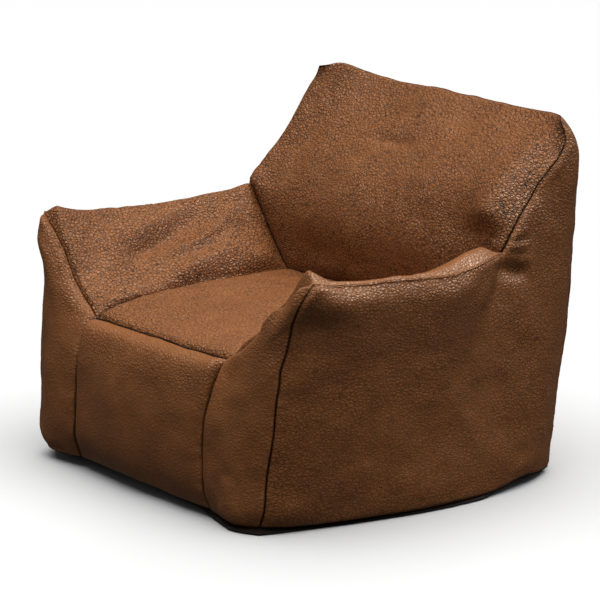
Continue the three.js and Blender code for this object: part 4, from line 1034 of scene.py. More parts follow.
class Nodes:
    """Short hand for making a material's nodes."""

    def __init__(self, name):
        self.m = bpy.data.materials.new(name)
        self.m.use_nodes = True
        self.t = self.m.node_tree
        self.t.nodes.clear()
        self.out = self.t.nodes.new("ShaderNodeOutputMaterial")
        self.bsdf = self.t.nodes.new("ShaderNodeBsdfPrincipled")
        self.t.links.new(self.bsdf.outputs[0], self.out.inputs[0])
        self.coord = self.t.nodes.new("ShaderNodeTexCoord")

    def link(self, a, b):
        self.t.links.new(a, b)

    def node(self, kind, inputs=None, **props):
        n = self.t.nodes.new(kind)
        for k, v in props.items():
            setattr(n, k, v)
        for k, v in (inputs or {}).items():
            s = n.inputs[k]
            if hasattr(v, "is_linked") or hasattr(v, "links"):
                self.link(v, s)
            else:
                s.default_value = v
        return n

    def math(self, op, a, b=0.0, c=0.0, clamp=False):
        n = self.t.nodes.new("ShaderNodeMath")
        n.operation, n.use_clamp = op, clamp
        for i, v in enumerate((a, b, c)):
            if hasattr(v, "links"):
                self.link(v, n.inputs[i])
            else:
                n.inputs[i].default_value = v
        return n.outputs[0]

    def vmath(self, op, a, b=(0, 0, 0), s=None):
        n = self.t.nodes.new("ShaderNodeVectorMath")
        n.operation = op
        for i, v in enumerate((a, b)):
            if hasattr(v, "links"):
                self.link(v, n.inputs[i])
            else:
                n.inputs[i].default_value = v
        if s is not None:
            n.inputs["Scale"].default_value = s
        return n.outputs[0]

    def range(self, x, a, b, c=0.0, d=1.0, smooth=True):
        n = self.t.nodes.new("ShaderNodeMapRange")
        n.interpolation_type = "SMOOTHSTEP" if smooth else "LINEAR"
        self.link(x, n.inputs[0])
        for i, v in enumerate((a, b, c, d)):
            n.inputs[i + 1].default_value = v
        return n.outputs[0]

    def ramp(self, x, stops):
        n = self.t.nodes.new("ShaderNodeValToRGB")
        self.link(x, n.inputs[0])
        while len(n.color_ramp.elements) < len(stops):
            n.color_ramp.elements.new(0.5)
        for el, (pos, col) in zip(n.color_ramp.elements, stops):
            el.position, el.color = pos, (*col, 1)
        return n.outputs[0]

    def mix(self, fac, a, b, kind="MIX"):
        n = self.t.nodes.new("ShaderNodeMix")
        n.data_type, n.blend_type = "RGBA", kind
        for sock, v in ((n.inputs[0], fac), (n.inputs[6], a), (n.inputs[7], b)):
            if hasattr(v, "links"):
                self.link(v, sock)
            else:
                sock.default_value = v if not isinstance(v, tuple) else (*v, 1)[:4]
        return n.outputs[2]

    def noise(self, vec, scale, detail=2.0, rough=0.5, distortion=0.0):
        return self.node("ShaderNodeTexNoise", {"Vector": vec, "Scale": scale, "Detail": detail, "Roughness": rough, "Distortion": distortion}).outputs[0]

    def voronoi(self, vec, scale, feature="F1", out=0, randomness=1.0):
        n = self.node("ShaderNodeTexVoronoi", {"Vector": vec, "Scale": scale, "Randomness": randomness}, feature=feature)
        return n.outputs[out]

    def attr(self, name):
        n = self.t.nodes.new("ShaderNodeAttribute")
        n.attribute_name = name
        return n.outputs["Fac"]

    def bump(self, height, distance, strength=1.0, normal=None):
        n = self.t.nodes.new("ShaderNodeBump")
        self.link(height, n.inputs["Height"])
        n.inputs["Distance"].default_value = distance
        n.inputs["Strength"].default_value = strength
        if normal is not None:
            self.link(normal, n.inputs["Normal"])
        return n.outputs[0]

    def principled(self, **values):
        for k, v in values.items():
            s = self.bsdf.inputs[k.replace("_", " ")]
            if hasattr(v, "links"):
                self.link(v, s)
            else:
                s.default_value = v
        return self.m


def srgb(r, g, b):
    return tuple(((c / 255 + 0.055) / 1.055) ** 2.4 if c > 10 else c / 255 / 12.92 for c in (r, g, b))


def leather(name, tone=1.0):
    """Pebbled leatherette: raised cells with dark creases between, their darkness partly dye and partly painted shade,
    finer grain on top, uneven dye, painted shade along the seams and rubbed edges.
    """
    n = Nodes(name)
    pos = n.coord.outputs["Object"]
    uv = n.coord.outputs["UV"]
    near = n.attr("near")                        # millimetres from the nearest seam, shifted by FAINT to set the painted seam shade
    # warped place, so that the cells are not round
    wob = n.node("ShaderNodeTexNoise", {"Vector": pos, "Scale": 55.0, "Detail": 2.0, "Roughness": 0.55})
    warp_v = n.vmath("SCALE", n.vmath("SUBTRACT", wob.outputs["Color"], (0.5, 0.5, 0.5)), s=0.0065)
    place = n.vmath("MULTIPLY", n.vmath("ADD", pos, warp_v), (0.88, 0.88, 1.1))
    cells = n.voronoi(place, 128.0, "DISTANCE_TO_EDGE")
    pebble = n.range(cells, 0.0, 0.16)
    dome = n.range(cells, 0.0, 0.55)
    fine = n.voronoi(n.vmath("ADD", pos, n.vmath("SCALE", warp_v, s=0.5)), 360.0, "DISTANCE_TO_EDGE")
    fine = n.range(fine, 0.0, 0.45)
    speck = n.noise(pos, 900.0, 2.0, 0.6)
    big = n.noise(pos, 34.0, 3.0, 0.6)           # wrinkles a few centimetres long
    worm = n.noise(place, 105.0, 3.0, 0.6)       # the cells run into each other
    patchy = n.noise(pos, 11.0, 2.0, 0.55)
    relief = n.attr("relief")                    # 1 where the leatherette is slack, less where it is pulled tight
    ink = n.attr("ink")                          # how strongly the grain's creases are darkened: painted shade in them, partly darker dye
    deep = n.range(n.noise(pos, 160.0, 1.0, 0.5), 0.3, 0.7, 0.55, 1.2)          # some creases are deep, some hardly there
    uneven = n.range(patchy, 0.3, 0.7, 0.85, 1.15)
    amount = n.math("MULTIPLY", uneven, relief)
    height = n.math("MULTIPLY", n.math("ADD", n.math("MULTIPLY", pebble, n.math("MULTIPLY", deep, 0.6)), n.math("MULTIPLY", dome, 1.0)), amount)
    height = n.math("ADD", height, n.math("MULTIPLY", n.math("MULTIPLY", worm, 0.4), amount))
    height = n.math("ADD", height, n.math("MULTIPLY", n.math("MULTIPLY", fine, 0.2), relief))
    height = n.math("ADD", height, n.math("MULTIPLY", speck, 0.03))
    height = n.math("ADD", height, n.math("MULTIPLY", big, 1.2))
    normal = n.bump(height, 0.0010, 1.0)
    # colour
    mottled = n.noise(pos, 14.0, 3.0, 0.6)
    hue = n.noise(pos, 60.0, 2.0, 0.5)
    base = n.ramp(mottled, [(0.30, srgb(*[c * tone for c in (134, 84, 48)])), (0.52, srgb(*[c * tone for c in (138, 87, 50)])), (0.72, srgb(*[c * tone for c in (142, 90, 52)]))])
    base = n.mix(n.range(hue, 0.38, 0.66, 0.0, 0.12), base, (*srgb(*[c * tone for c in (136, 82, 51)]), 1))
    # painted shade in the grain's creases, partly darker dye: the colour goes towards dark brown there
    crease = n.math("MULTIPLY", n.math("MULTIPLY", n.range(cells, 0.0, 0.22, 0.42, 0.0), deep), n.math("MULTIPLY", uneven, ink), clamp=True)
    base = n.mix(crease, base, (*srgb(44, 23, 13), 1))
    shade = n.range(fine, 0.0, 1.0, 0.94, 1.02)
    shade = n.math("MULTIPLY", shade, n.math("ADD", 1.0, n.math("MULTIPLY", ink, 0.11)))     # lighter overall where the crease shade is strong, so that the panel's mean tone stays
    # painted shade in and beside the seam grooves: darker within 5 mm of a seam
    seam = n.range(near, 0.0, 5.0, 0.26, 1.0)
    shade = n.math("MULTIPLY", shade, seam)
    shade_rgb = n.node("ShaderNodeCombineColor", {0: shade, 1: shade, 2: shade}).outputs[0]
    col = n.mix(1.0, base, shade_rgb, "MULTIPLY")
    rub = n.math("MULTIPLY", n.range(near, 3.0, 14.0, 1.0, 0.0), n.range(n.noise(pos, 45.0, 2.0, 0.6), 0.42, 0.72))
    rub = n.math("MULTIPLY", rub, n.range(near, 2.0, 5.0, 0.0, 0.30))
    col = n.mix(rub, col, (*srgb(186, 126, 80), 1))
    rough = n.math("ADD", n.range(n.noise(pos, 22.0, 2.0, 0.5), 0.3, 0.7, 0.31, 0.37), n.range(pebble, 0.0, 1.0, 0.15, 0.0))
    return n.principled(Base_Color=col, Roughness=rough, Normal=normal, Specular_IOR_Level=0.38, Specular_Tint=(1.0, 0.84, 0.66, 1), IOR=1.5)


MAT_LEATHER = leather("pebbled_leatherette")


def cloth_simple(name, colour, pitch=0.0011, rough=0.85, bump=0.00025):
    """Plain woven cloth: over-and-under threads with uneven dye."""
    n = Nodes(name)
    pos = n.coord.outputs["Object"]
    sep = n.node("ShaderNodeSeparateXYZ", {0: pos})
    k = 2 * math.pi / pitch
    a = n.math("SINE", n.math("MULTIPLY", n.math("ADD", sep.outputs[0], sep.outputs[2]), k))
    b = n.math("SINE", n.math("MULTIPLY", n.math("ADD", sep.outputs[1], n.math("MULTIPLY", sep.outputs[2], 0.6)), k))
    weave = n.math("MULTIPLY", a, b)
    blot = n.noise(pos, 18.0, 3.0, 0.6)
    fib = n.noise(pos, 1400.0, 2.0, 0.6)
    h = n.math("ADD", n.math("MULTIPLY", weave, 0.5), n.math("MULTIPLY", fib, 0.6))
    shade = n.math("ADD", n.range(weave, -1.0, 1.0, 0.72, 1.05), n.range(blot, 0.3, 0.7, -0.1, 0.1))
    rgb = n.node("ShaderNodeCombineColor", {0: shade, 1: shade, 2: shade}).outputs[0]
    col = n.mix(1.0, (*srgb(*colour), 1), rgb, "MULTIPLY")
    return n.principled(Base_Color=col, Roughness=rough, Normal=n.bump(h, bump), Specular_IOR_Level=0.3)


MAT_BASE = cloth_simple("dark_base_cloth", (36, 29, 25), 0.0016)
MAT_TAPE = cloth_simple("zip_tape_cloth", (74, 48, 33), 0.0009)

# ---------------------------------------------------------------- the cover
SHAPE = {}
for name in PANELS:
    verts, quads, tris, info = panel_mesh(name)
    SHAPE[name] = info["grid"]["P"]
    o = new_object("cover_" + name, verts, quads, tris, material=MAT_LEATHER, uv=info["uv"] * M, data={"near": info["near"], "relief": info["relief"], "ink": info["ink"]})
    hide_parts(name)
base_v, base_q, base_t, base_near, base_under = base_mesh()
o = new_object("cover_base_panel", base_v, base_q, base_t, material=MAT_BASE, data={"near": base_near})
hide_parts("base_panel")

# ---------------------------------------------------------------- inside: the bead bags and the partitions
from mathutils.kdtree import KDTree

ref_p = np.vstack([r[0] for r in REF])
ref_n = np.vstack([r[1] for r in REF])
ref_d = np.concatenate([r[2] for r in REF])
_floor = np.stack(np.meshgrid(np.linspace(-430, 430, 60), np.linspace(-420, 420, 60)), -1).reshape(-1, 2)
ref_p = np.vstack([ref_p, np.c_[_floor, np.zeros(len(_floor))]])
ref_n = np.vstack([ref_n, np.tile([0, 0, -1.0], (len(_floor), 1))])
ref_d = np.r_[ref_d, np.zeros(len(_floor))]
tree = KDTree(len(ref_p))
for i, p in enumerate(ref_p):
    tree.insert(p, i)
tree.balance()


from mathutils.bvhtree import BVHTree

_v, _f, _n = [], [], 0
for _p in SHAPE.values():
    a = np.arange(_p.shape[0] * _p.shape[1]).reshape(_p.shape[:2]) + _n
    _v.append(_p.reshape(-1, 3))
    _f.append(np.stack([a[:-1, :-1], a[1:, :-1], a[1:, 1:], a[:-1, 1:]], -1).reshape(-1, 4))
    _n += a.size
_v.append(base_v)
_f.append(base_under + _n)
skin = BVHTree.FromPolygons(np.vstack(_v).tolist(), np.vstack(_f).tolist())
base_tree = BVHTree.FromPolygons(base_v.tolist(), [list(f) for f in np.asarray(base_q).tolist()] + [list(f) for f in np.asarray(base_t).tolist()])


def under_skin(P, depth, rounds=4):
    """Keeps points at least this far below the cover's outer face."""
    from mathutils import Vector as V3
    P = P.copy()
    for _ in range(rounds):
        for i, p in enumerate(P):
            at, nrm, _i, dist = skin.find_nearest(V3(p))
            inside = -(V3(p) - at).dot(nrm)
            if inside < 0 or dist < depth:
                if inside > 0 and dist > 1e-3:
                    P[i] = np.array(at) + (p - np.array(at)) * (depth / dist)
                else:
                    P[i] = np.array(at) - np.array(nrm) * depth
    return P


def keep_inside(P, margin, rounds=3):
    """Moves points that are too close to the cover further in."""
    P = P.copy()
    for _ in range(rounds):
        i = np.array([tree.find(p)[1] for p in P])
        depth = ((ref_p[i] - P) * ref_n[i]).sum(1)
        P -= ref_n[i] * np.maximum(margin + ref_d[i] - depth, 0)[:, None]
    return P


def above_base(P, gap):
    """Lifts points off the base, which rises towards its rim at the front left."""
    P = P.copy()
    low = np.nonzero(P[:, 2] < 75)[0]
    for i in low:
        at, nrm, _i, dist = base_tree.ray_cast((P[i, 0], P[i, 1], 90.0), (0.0, 0.0, -1.0))
        P[i, 2] = max(P[i, 2], 2.0 + gap, (at[2] + gap) if at is not None else 0.0)
    return P


def mesh_arrays(node, voxel=None):
    """A CAD node's mesh in millimetres, remeshed evenly if voxel is given: vertices, faces."""
    src = frame["nodes"][node]
    me = src.data.copy()
    tmp = bpy.data.objects.new("tmp", me)
    bpy.context.scene.collection.objects.link(tmp)
    if voxel:
        mod = tmp.modifiers.new("r", "REMESH")
        mod.mode, mod.voxel_size = "VOXEL", voxel * M
    dg = bpy.context.evaluated_depsgraph_get()
    ev = tmp.evaluated_get(dg)
    em = ev.to_mesh()
    v = np.zeros(len(em.vertices) * 3)
    em.vertices.foreach_get("co", v)
    quads = np.array([tuple(p.vertices) for p in em.polygons if len(p.vertices) == 4], int).reshape(-1, 4)
    tris = np.array([tuple(p.vertices) for p in em.polygons if len(p.vertices) == 3], int).reshape(-1, 3)
    ev.to_mesh_clear()
    bpy.data.objects.remove(tmp)
    bpy.data.meshes.remove(me)
    return v.reshape(-1, 3) / M, quads, tris


def neighbours_mean(P, quads, tris, rounds, keep=0.5):
    E = np.vstack([quads[:, [0, 1]], quads[:, [1, 2]], quads[:, [2, 3]], quads[:, [3, 0]]] + ([tris[:, [0, 1]], tris[:, [1, 2]], tris[:, [2, 0]]] if len(tris) else []))
    cnt = np.zeros(len(P))
    np.add.at(cnt, E[:, 0], 1)
    np.add.at(cnt, E[:, 1], 1)
    for _ in range(rounds):
        s = np.zeros_like(P)
        np.add.at(s, E[:, 0], P[E[:, 1]])
        np.add.at(s, E[:, 1], P[E[:, 0]])
        P = keep * P + (1 - keep) * s / cnt[:, None]
    return P


def normals_of(P, quads, tris):
    n = np.zeros_like(P)
    if len(quads):
        f = np.cross(P[quads[:, 2]] - P[quads[:, 0]], P[quads[:, 3]] - P[quads[:, 1]])
        for k in range(4):
            np.add.at(n, quads[:, k], f)
    if len(tris):
        f = np.cross(P[tris[:, 1]] - P[tris[:, 0]], P[tris[:, 2]] - P[tris[:, 0]])
        for k in range(3):
            np.add.at(n, tris[:, k], f)
    return unit(n)


MAT_LINER = cloth_simple("liner_cloth", (206, 203, 196), 0.0013)
MAT_BAFFLE = cloth_simple("baffle_cloth", (70, 60, 52), 0.0013)


def bead_material():
    n = Nodes("bead_fill")
    pos = n.coord.outputs["Object"]
    cell = n.voronoi(pos, 260.0, "F1")
    ball = n.math("SUBTRACT", 1.0, n.math("MULTIPLY", cell, cell))
    tint = n.noise(pos, 30.0, 2.0, 0.5)
    # painted shade between the beads: each bead darker away from its centre, where its neighbours shade it
    shade = n.math("MULTIPLY", n.range(ball, 0.5, 1.0, 0.55, 1.0), n.range(tint, 0.3, 0.7, 0.94, 1.0))
    rgb = n.node("ShaderNodeCombineColor", {0: shade, 1: shade, 2: shade}).outputs[0]
    col = n.mix(1.0, (*srgb(243, 241, 235), 1), rgb, "MULTIPLY")
    return n.principled(Base_Color=col, Roughness=0.62, Normal=n.bump(ball, 0.0016), Specular_IOR_Level=0.4)


MAT_BEADS = bead_material()
for chamber in ("seat", "back", "left_arm", "right_arm"):
    P, Q, Tr = mesh_arrays(chamber + "_fill", 13)
    P = neighbours_mean(P, Q, Tr, 5)
    n0 = normals_of(P, Q, Tr)
    P = P - n0 * 3.0
    fill = keep_inside(P, 17.0)
    fill = fill - n0 * (1.5 + 1.2 * noise(fill, 30, 91))[:, None]
    fill = under_skin(fill, 11.0, 3)
    fill = above_base(under_skin(above_base(fill, 4.5), 11.0, 1), 4.5)
    o = new_object(chamber + "_bead_fill", fill, Q, Tr, material=MAT_BEADS)
    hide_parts(chamber + "_fill")
    bag = keep_inside(P, 13.0)
    nb = normals_of(bag, Q, Tr)
    bag = bag + nb * (0.8 * noise(bag, 45, 92) + 0.5 * np.abs(noise(bag, 20, 93)))[:, None]
    bag = under_skin(bag, 6.5, 3)
    # the flat wall round the bag's own zip
    zx, zy, zz = dict(seat=((-150, 150), 181.95, 191), back=((-150, 150), 187.05, 231), right_arm=((340, 430), 181.95, 191), left_arm=((-430, -340), 181.95, 191))[chamber]
    far = np.maximum(np.abs(bag[:, 0] - sum(zx) / 2) - (zx[1] - zx[0]) / 2 - 8, 0) ** 2 + np.maximum(np.abs(bag[:, 2] - zz) - 14, 0) ** 2
    w = np.exp(-far / 35.0 ** 2) * (np.abs(bag[:, 1] - zy) < 26)
    bag[:, 1] += (zy - bag[:, 1]) * w
    k = len(bag)
    bag = above_base(under_skin(above_base(bag, 2.0), 6.5, 1), 2.0)
    V = np.vstack([bag, bag - nb * 0.9])
    V[k:, 2] = np.maximum(V[k:, 2], np.minimum(V[:k, 2] + 0.9, 12.0))
    QQ = np.vstack([Q, Q[:, ::-1] + k])
    TT = np.vstack([Tr, Tr[:, ::-1] + k]) if len(Tr) else Tr
    o = new_object(chamber + "_bag", V, QQ, TT, material=MAT_LINER)
    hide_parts(chamber + "_liner")
# ---------------------------------------------------------------- the partitions between the bags
from mathutils import Vector as V3


def hit(origin, direction):
    at = skin.ray_cast(V3(origin), V3(direction))[0]
    return None if at is None else np.array(at)


def sheet_solid(G, thick):
    """A closed thin sheet from a grid of points."""
    n = grid_normals(G)
    nu, nv = G.shape[0], G.shape[1]
    a = np.arange(nu * nv).reshape(nu, nv)
    k = nu * nv
    V = np.vstack([(G + n * thick / 2).reshape(-1, 3), (G - n * thick / 2).reshape(-1, 3)])
    q = np.stack([a[:-1, :-1], a[1:, :-1], a[1:, 1:], a[:-1, 1:]], -1).reshape(-1, 4)
    rim = loop_of(nu - 1, nv - 1)
    e = np.stack([np.roll(rim, -1), rim, rim + k, np.roll(rim, -1) + k], -1)
    return V, np.vstack([q, q[:, ::-1] + k, e])


def grid_area(G):
    a, b = G[1:, 1:] - G[:-1, :-1], G[:-1, 1:] - G[1:, :-1]
    return float(np.linalg.norm(np.cross(a, b), axis=-1).sum() / 2)


def back_partition():
    y = 184.5
    us = np.linspace(-1, 1, 111)
    top = []
    for u in us:
        h = hit((u * 452, y, 120), (0, 0, 1))
        top.append(h[2] - 11 if h is not None else 360)
    top = np.array(top)
    top = smooth_line(np.stack([us * 452, np.minimum(top, 520)], 1), 1.5)[:, 1]
    zs = np.linspace(0, 1, 61)
    G = np.zeros((len(us), len(zs), 3))
    for j, v in enumerate(zs):
        for i, u in enumerate(us):
            low = 9.0
            z = low + v * (top[i] - low)
            s = np.sign(u) or 1.0
            side = hit((s * 700, y, z), (-s, 0, 0))
            x = u * (abs(side[0]) - 12 if side is not None else 440)
            G[i, j] = (x, y, z)
    for c in (0, 2):
        for _ in range(2):
            G[1:-1, 1:-1, c] = (G[:-2, 1:-1, c] + G[2:, 1:-1, c] + G[1:-1, :-2, c] + G[1:-1, 2:, c]) / 4
    return G


def arm_partition(side):
    ys = np.linspace(0, 1, 91)
    zs = np.linspace(0, 1, 51)
    G = np.zeros((len(ys), len(zs), 3))
    for i, t in enumerate(ys):
        for j, v in enumerate(zs):
            z0 = 10 + v * 320
            x = side * (248 + 38 * t)
            y0 = max([-445.0] + [h[1] for h in (hit((side * (249 + d), -700, z0), (0, 1, 0)) for d in (-7, 7)) if h is not None and h[1] < -300]) + 12
            y = y0 + t * (182.6 - y0)
            x = side * float(np.interp(y, [-440, 183], [247, 286]))
            top = min([372.0] + [h[2] for h in (hit((x + d, y, 260), (0, 0, 1)) for d in (-8, 8)) if h is not None]) - 8
            down = [hit((x + d, y, 260), (0, 0, -1)) for d in (-7, 7)]
            low = max([0.0] + [d[2] for d in down if d is not None]) + 7
            G[i, j] = (x, y, low + v * (top - low))
    for c in (1, 2):
        for _ in range(3):
            G[1:-1, 1:-1, c] = (G[:-2, 1:-1, c] + G[2:, 1:-1, c] + G[1:-1, :-2, c] + G[1:-1, 2:, c]) / 4
    return G


FLAT = dict(back_baffle=(0.98, 0.515, 0.448), left_arm_baffle=(0.62, 0.36, 0.213), right_arm_baffle=(0.62, 0.36, 0.216))
for name, G in (("back_baffle", back_partition()), ("left_arm_baffle", arm_partition(-1)), ("right_arm_baffle", arm_partition(1))):
    cut = grid_area(G) * 1e-6
    n = grid_normals(G)
    edge = np.minimum.reduce([np.arange(G.shape[0])[:, None] + 0 * G[..., 0], (G.shape[0] - 1 - np.arange(G.shape[0]))[:, None] + 0 * G[..., 0],
                              np.arange(G.shape[1])[None] + 0 * G[..., 0], (G.shape[1] - 1 - np.arange(G.shape[1]))[None] + 0 * G[..., 0]])
    amp = 1.0 if name == "back_baffle" else 2.0
    G = G + n * (amp * (noise(G, 90, 101) + 0.4 * noise(G, 32, 102)) * ease(edge / 5))[..., None]
    V, Q = sheet_solid(G, 0.9)
    o = new_object(name + "_cloth", V, Q, None, material=MAT_BAFFLE)
    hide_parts(name)
    w, l, a = FLAT[name]


# ---------------------------------------------------------------- small solids
def tube(path, radius, sides=8, flat=1.0, up=(0, 0, 1)):
    """A closed tube along a path; flat squeezes it along the up direction."""
    path = np.asarray(path, float)
    t = unit(np.gradient(path, axis=0))
    ref = np.broadcast_to(np.asarray(up, float), t.shape)
    a = unit(np.cross(ref, t))
    b = np.cross(t, a)
    r = np.broadcast_to(np.asarray(radius, float), (len(path),))
    th = np.arange(sides) / sides * 2 * math.pi
    ring = a[:, None] * np.cos(th)[None, :, None] + b[:, None] * (np.sin(th) * flat)[None, :, None]
    V = (path[:, None] + ring * r[:, None, None]).reshape(-1, 3)
    i = np.arange(len(path) - 1)[:, None] * sides
    k = np.arange(sides)[None]
    k1 = (k + 1) % sides
    Q = np.stack([i + k, i + k1, i + sides + k1, i + sides + k], -1).reshape(-1, 4)
    n = len(V)
    V = np.vstack([V, path[:1] - t[:1] * r[0] * 0.5, path[-1:] + t[-1:] * r[-1] * 0.5])
    kk = np.arange(sides)
    last = (len(path) - 1) * sides
    T = np.vstack([np.stack([(kk + 1) % sides, kk, np.full(sides, n)], -1), np.stack([last + kk, last + (kk + 1) % sides, np.full(sides, n + 1)], -1)])
    return V, Q, T


def joined(parts):
    V, Q, T, n = [], [], [], 0
    for v, q, t in parts:
        V.append(v)
        if q is not None and len(q):
            Q.append(np.asarray(q) + n)
        if t is not None and len(t):
            T.append(np.asarray(t) + n)
        n += len(v)
    return np.vstack(V), np.vstack(Q) if Q else np.zeros((0, 4), int), np.vstack(T) if T else np.zeros((0, 3), int)


def slab(outline, y0, y1, crown=0.0, rings=4):
    """A plate from an outline in X and Z, between two Y values, its outer face crowned and its rim rounded."""
    outline = np.asarray(outline, float)
    c = outline.mean(0)
    rows = []
    half = (y1 - y0) / 2
    prof = [(0.0, 0.0), (0.35, 0.0), (0.7, 0.0), (0.9, 0.0), (0.97, 0.12), (1.0, 0.5), (0.97, 0.88), (0.9, 1.0), (0.7, 1.0), (0.35, 1.0)]
    for f, g in prof[1:]:
        p = c + (outline - c) * f
        y = y0 + (y1 - y0) * g + (crown * (1 - f * f) if g > 0.6 else 0)
        rows.append(np.c_[p[:, 0], np.full(len(p), y), p[:, 1]])
    m = len(outline)
    V = np.vstack(rows + [[[c[0], y0, c[1]]], [[c[0], y1 + crown, c[1]]]])
    k = len(rows)
    i = np.arange(k - 1)[:, None] * m
    j = np.arange(m)[None]
    j1 = (j + 1) % m
    Q = np.stack([i + j, i + m + j, i + m + j1, i + j1], -1).reshape(-1, 4)
    jj = np.arange(m)
    T = np.vstack([np.stack([jj, (jj + 1) % m, np.full(m, k * m)], -1), np.stack([(k - 1) * m + (jj + 1) % m, (k - 1) * m + jj, np.full(m, k * m + 1)], -1)])
    return V, Q, T


def stadium(x0, x1, z0, z1, r, n=10):
    pts = []
    for cx, cz, a0 in ((x1 - r, z1 - r, 0), (x0 + r, z1 - r, 90), (x0 + r, z0 + r, 180), (x1 - r, z0 + r, 270)):
        for a in np.linspace(a0, a0 + 90, n):
            pts.append((cx + r * math.cos(math.radians(a)), cz + r * math.sin(math.radians(a))))
    return np.array(pts)


def fused(parts, voxel, smooth=3, minus=None):
    """Overlapping closed shells joined into one skin."""
    def obj(v, q, t):
        me = bpy.data.meshes.new("tmp")
        me.from_pydata(np.asarray(v).tolist(), [], [tuple(f) for f in np.asarray(q).tolist()] + [tuple(f) for f in np.asarray(t).tolist()])
        o = bpy.data.objects.new("tmp", me)
        bpy.context.scene.collection.objects.link(o)
        return o
    o = obj(*joined(parts))
    temp = [o]
    mod = o.modifiers.new("r", "REMESH")
    mod.mode, mod.voxel_size = "VOXEL", voxel
    if minus is not None:
        c = obj(*minus)
        temp.append(c)
        b = o.modifiers.new("b", "BOOLEAN")
        b.operation, b.object, b.solver = "DIFFERENCE", c, "EXACT"
        mod2 = o.modifiers.new("r2", "REMESH")
        mod2.mode, mod2.voxel_size = "VOXEL", voxel
    dg = bpy.context.evaluated_depsgraph_get()
    ev = o.evaluated_get(dg)
    em = ev.to_mesh()
    v = np.zeros(len(em.vertices) * 3)
    em.vertices.foreach_get("co", v)
    quads = np.array([tuple(p.vertices) for p in em.polygons if len(p.vertices) == 4], int).reshape(-1, 4)
    tris = np.array([tuple(p.vertices) for p in em.polygons if len(p.vertices) == 3], int).reshape(-1, 3)
    ev.to_mesh_clear()
    for x in temp:
        me = x.data
        bpy.data.objects.remove(x)
        bpy.data.meshes.remove(me)
    v = neighbours_mean(v.reshape(-1, 3), quads, tris, smooth, 0.5)
    return v, quads, tris


# ---------------------------------------------------------------- materials of the zip
def zip_tape(name, colour, ribs=0.0011):
    n = Nodes(name)
    pos = n.coord.outputs["Object"]
    sep = n.node("ShaderNodeSeparateXYZ", {0: pos})
    k = 2 * math.pi / ribs
    a = n.math("SINE", n.math("MULTIPLY", n.math("ADD", sep.outputs[0], n.math("PINGPONG", sep.outputs[2], 0.0022)), k))
    b = n.math("SINE", n.math("MULTIPLY", sep.outputs[2], 2 * math.pi / 0.0007))
    fib = n.noise(pos, 1800.0, 2.0, 0.6)
    h = n.math("ADD", n.math("ADD", a, n.math("MULTIPLY", b, 0.35)), n.math("MULTIPLY", fib, 0.5))
    shade = n.math("ADD", n.range(a, -1.0, 1.0, 0.68, 1.06), n.range(n.noise(pos, 30.0, 2.0, 0.5), 0.3, 0.7, -0.08, 0.08))
    rgb = n.node("ShaderNodeCombineColor", {0: shade, 1: shade, 2: shade}).outputs[0]
    col = n.mix(1.0, (*srgb(*colour), 1), rgb, "MULTIPLY")
    return n.principled(Base_Color=col, Roughness=0.82, Normal=n.bump(h, 0.00016), Specular_IOR_Level=0.3)


def nylon(name, colour, rough=0.34):
    n = Nodes(name)
    pos = n.coord.outputs["Object"]
    blot = n.noise(pos, 160.0, 2.0, 0.5)
    line = n.noise(n.vmath("MULTIPLY", pos, (0.2, 3.0, 3.0)), 900.0, 2.0, 0.6)
    shade = n.math("ADD", n.range(blot, 0.3, 0.7, 0.86, 1.06), n.range(line, 0.3, 0.7, -0.05, 0.05))
    rgb = n.node("ShaderNodeCombineColor", {0: shade, 1: shade, 2: shade}).outputs[0]
    col = n.mix(1.0, (*srgb(*colour), 1), rgb, "MULTIPLY")
    return n.principled(Base_Color=col, Roughness=n.range(blot, 0.3, 0.7, rough - 0.05, rough + 0.08), Normal=n.bump(line, 0.00003), Specular_IOR_Level=0.5)


def plated(name):
    n = Nodes(name)
    pos = n.coord.outputs["Object"]
    tint = n.noise(pos, 120.0, 3.0, 0.6)
    scratch = n.noise(n.vmath("MULTIPLY", pos, (0.35, 1.0, 4.0)), 1500.0, 3.0, 0.65)
    wear = n.noise(pos, 420.0, 3.0, 0.65)
    col = n.ramp(tint, [(0.3, (0.36, 0.345, 0.33)), (0.7, (0.50, 0.49, 0.47))])
    rough = n.math("ADD", n.range(wear, 0.3, 0.7, 0.22, 0.38), n.range(scratch, 0.5, 0.8, 0.0, 0.12))
    return n.principled(Base_Color=col, Metallic=1.0, Roughness=rough, Normal=n.bump(n.math("ADD", scratch, n.math("MULTIPLY", wear, 0.6)), 0.00004))


MAT_ZTAPE = zip_tape("zip_tape_weave", (62, 40, 28))
MAT_COIL = nylon("zip_coil_nylon", (52, 33, 24))
MAT_METAL = plated("zip_plated_metal")
MAT_NYLON = zip_tape("liner_zip_nylon", (226, 223, 215), 0.0015)
MAT_THREAD = cloth_simple("sewing_thread", (120, 80, 52), 0.0006, 0.7, 0.00006)

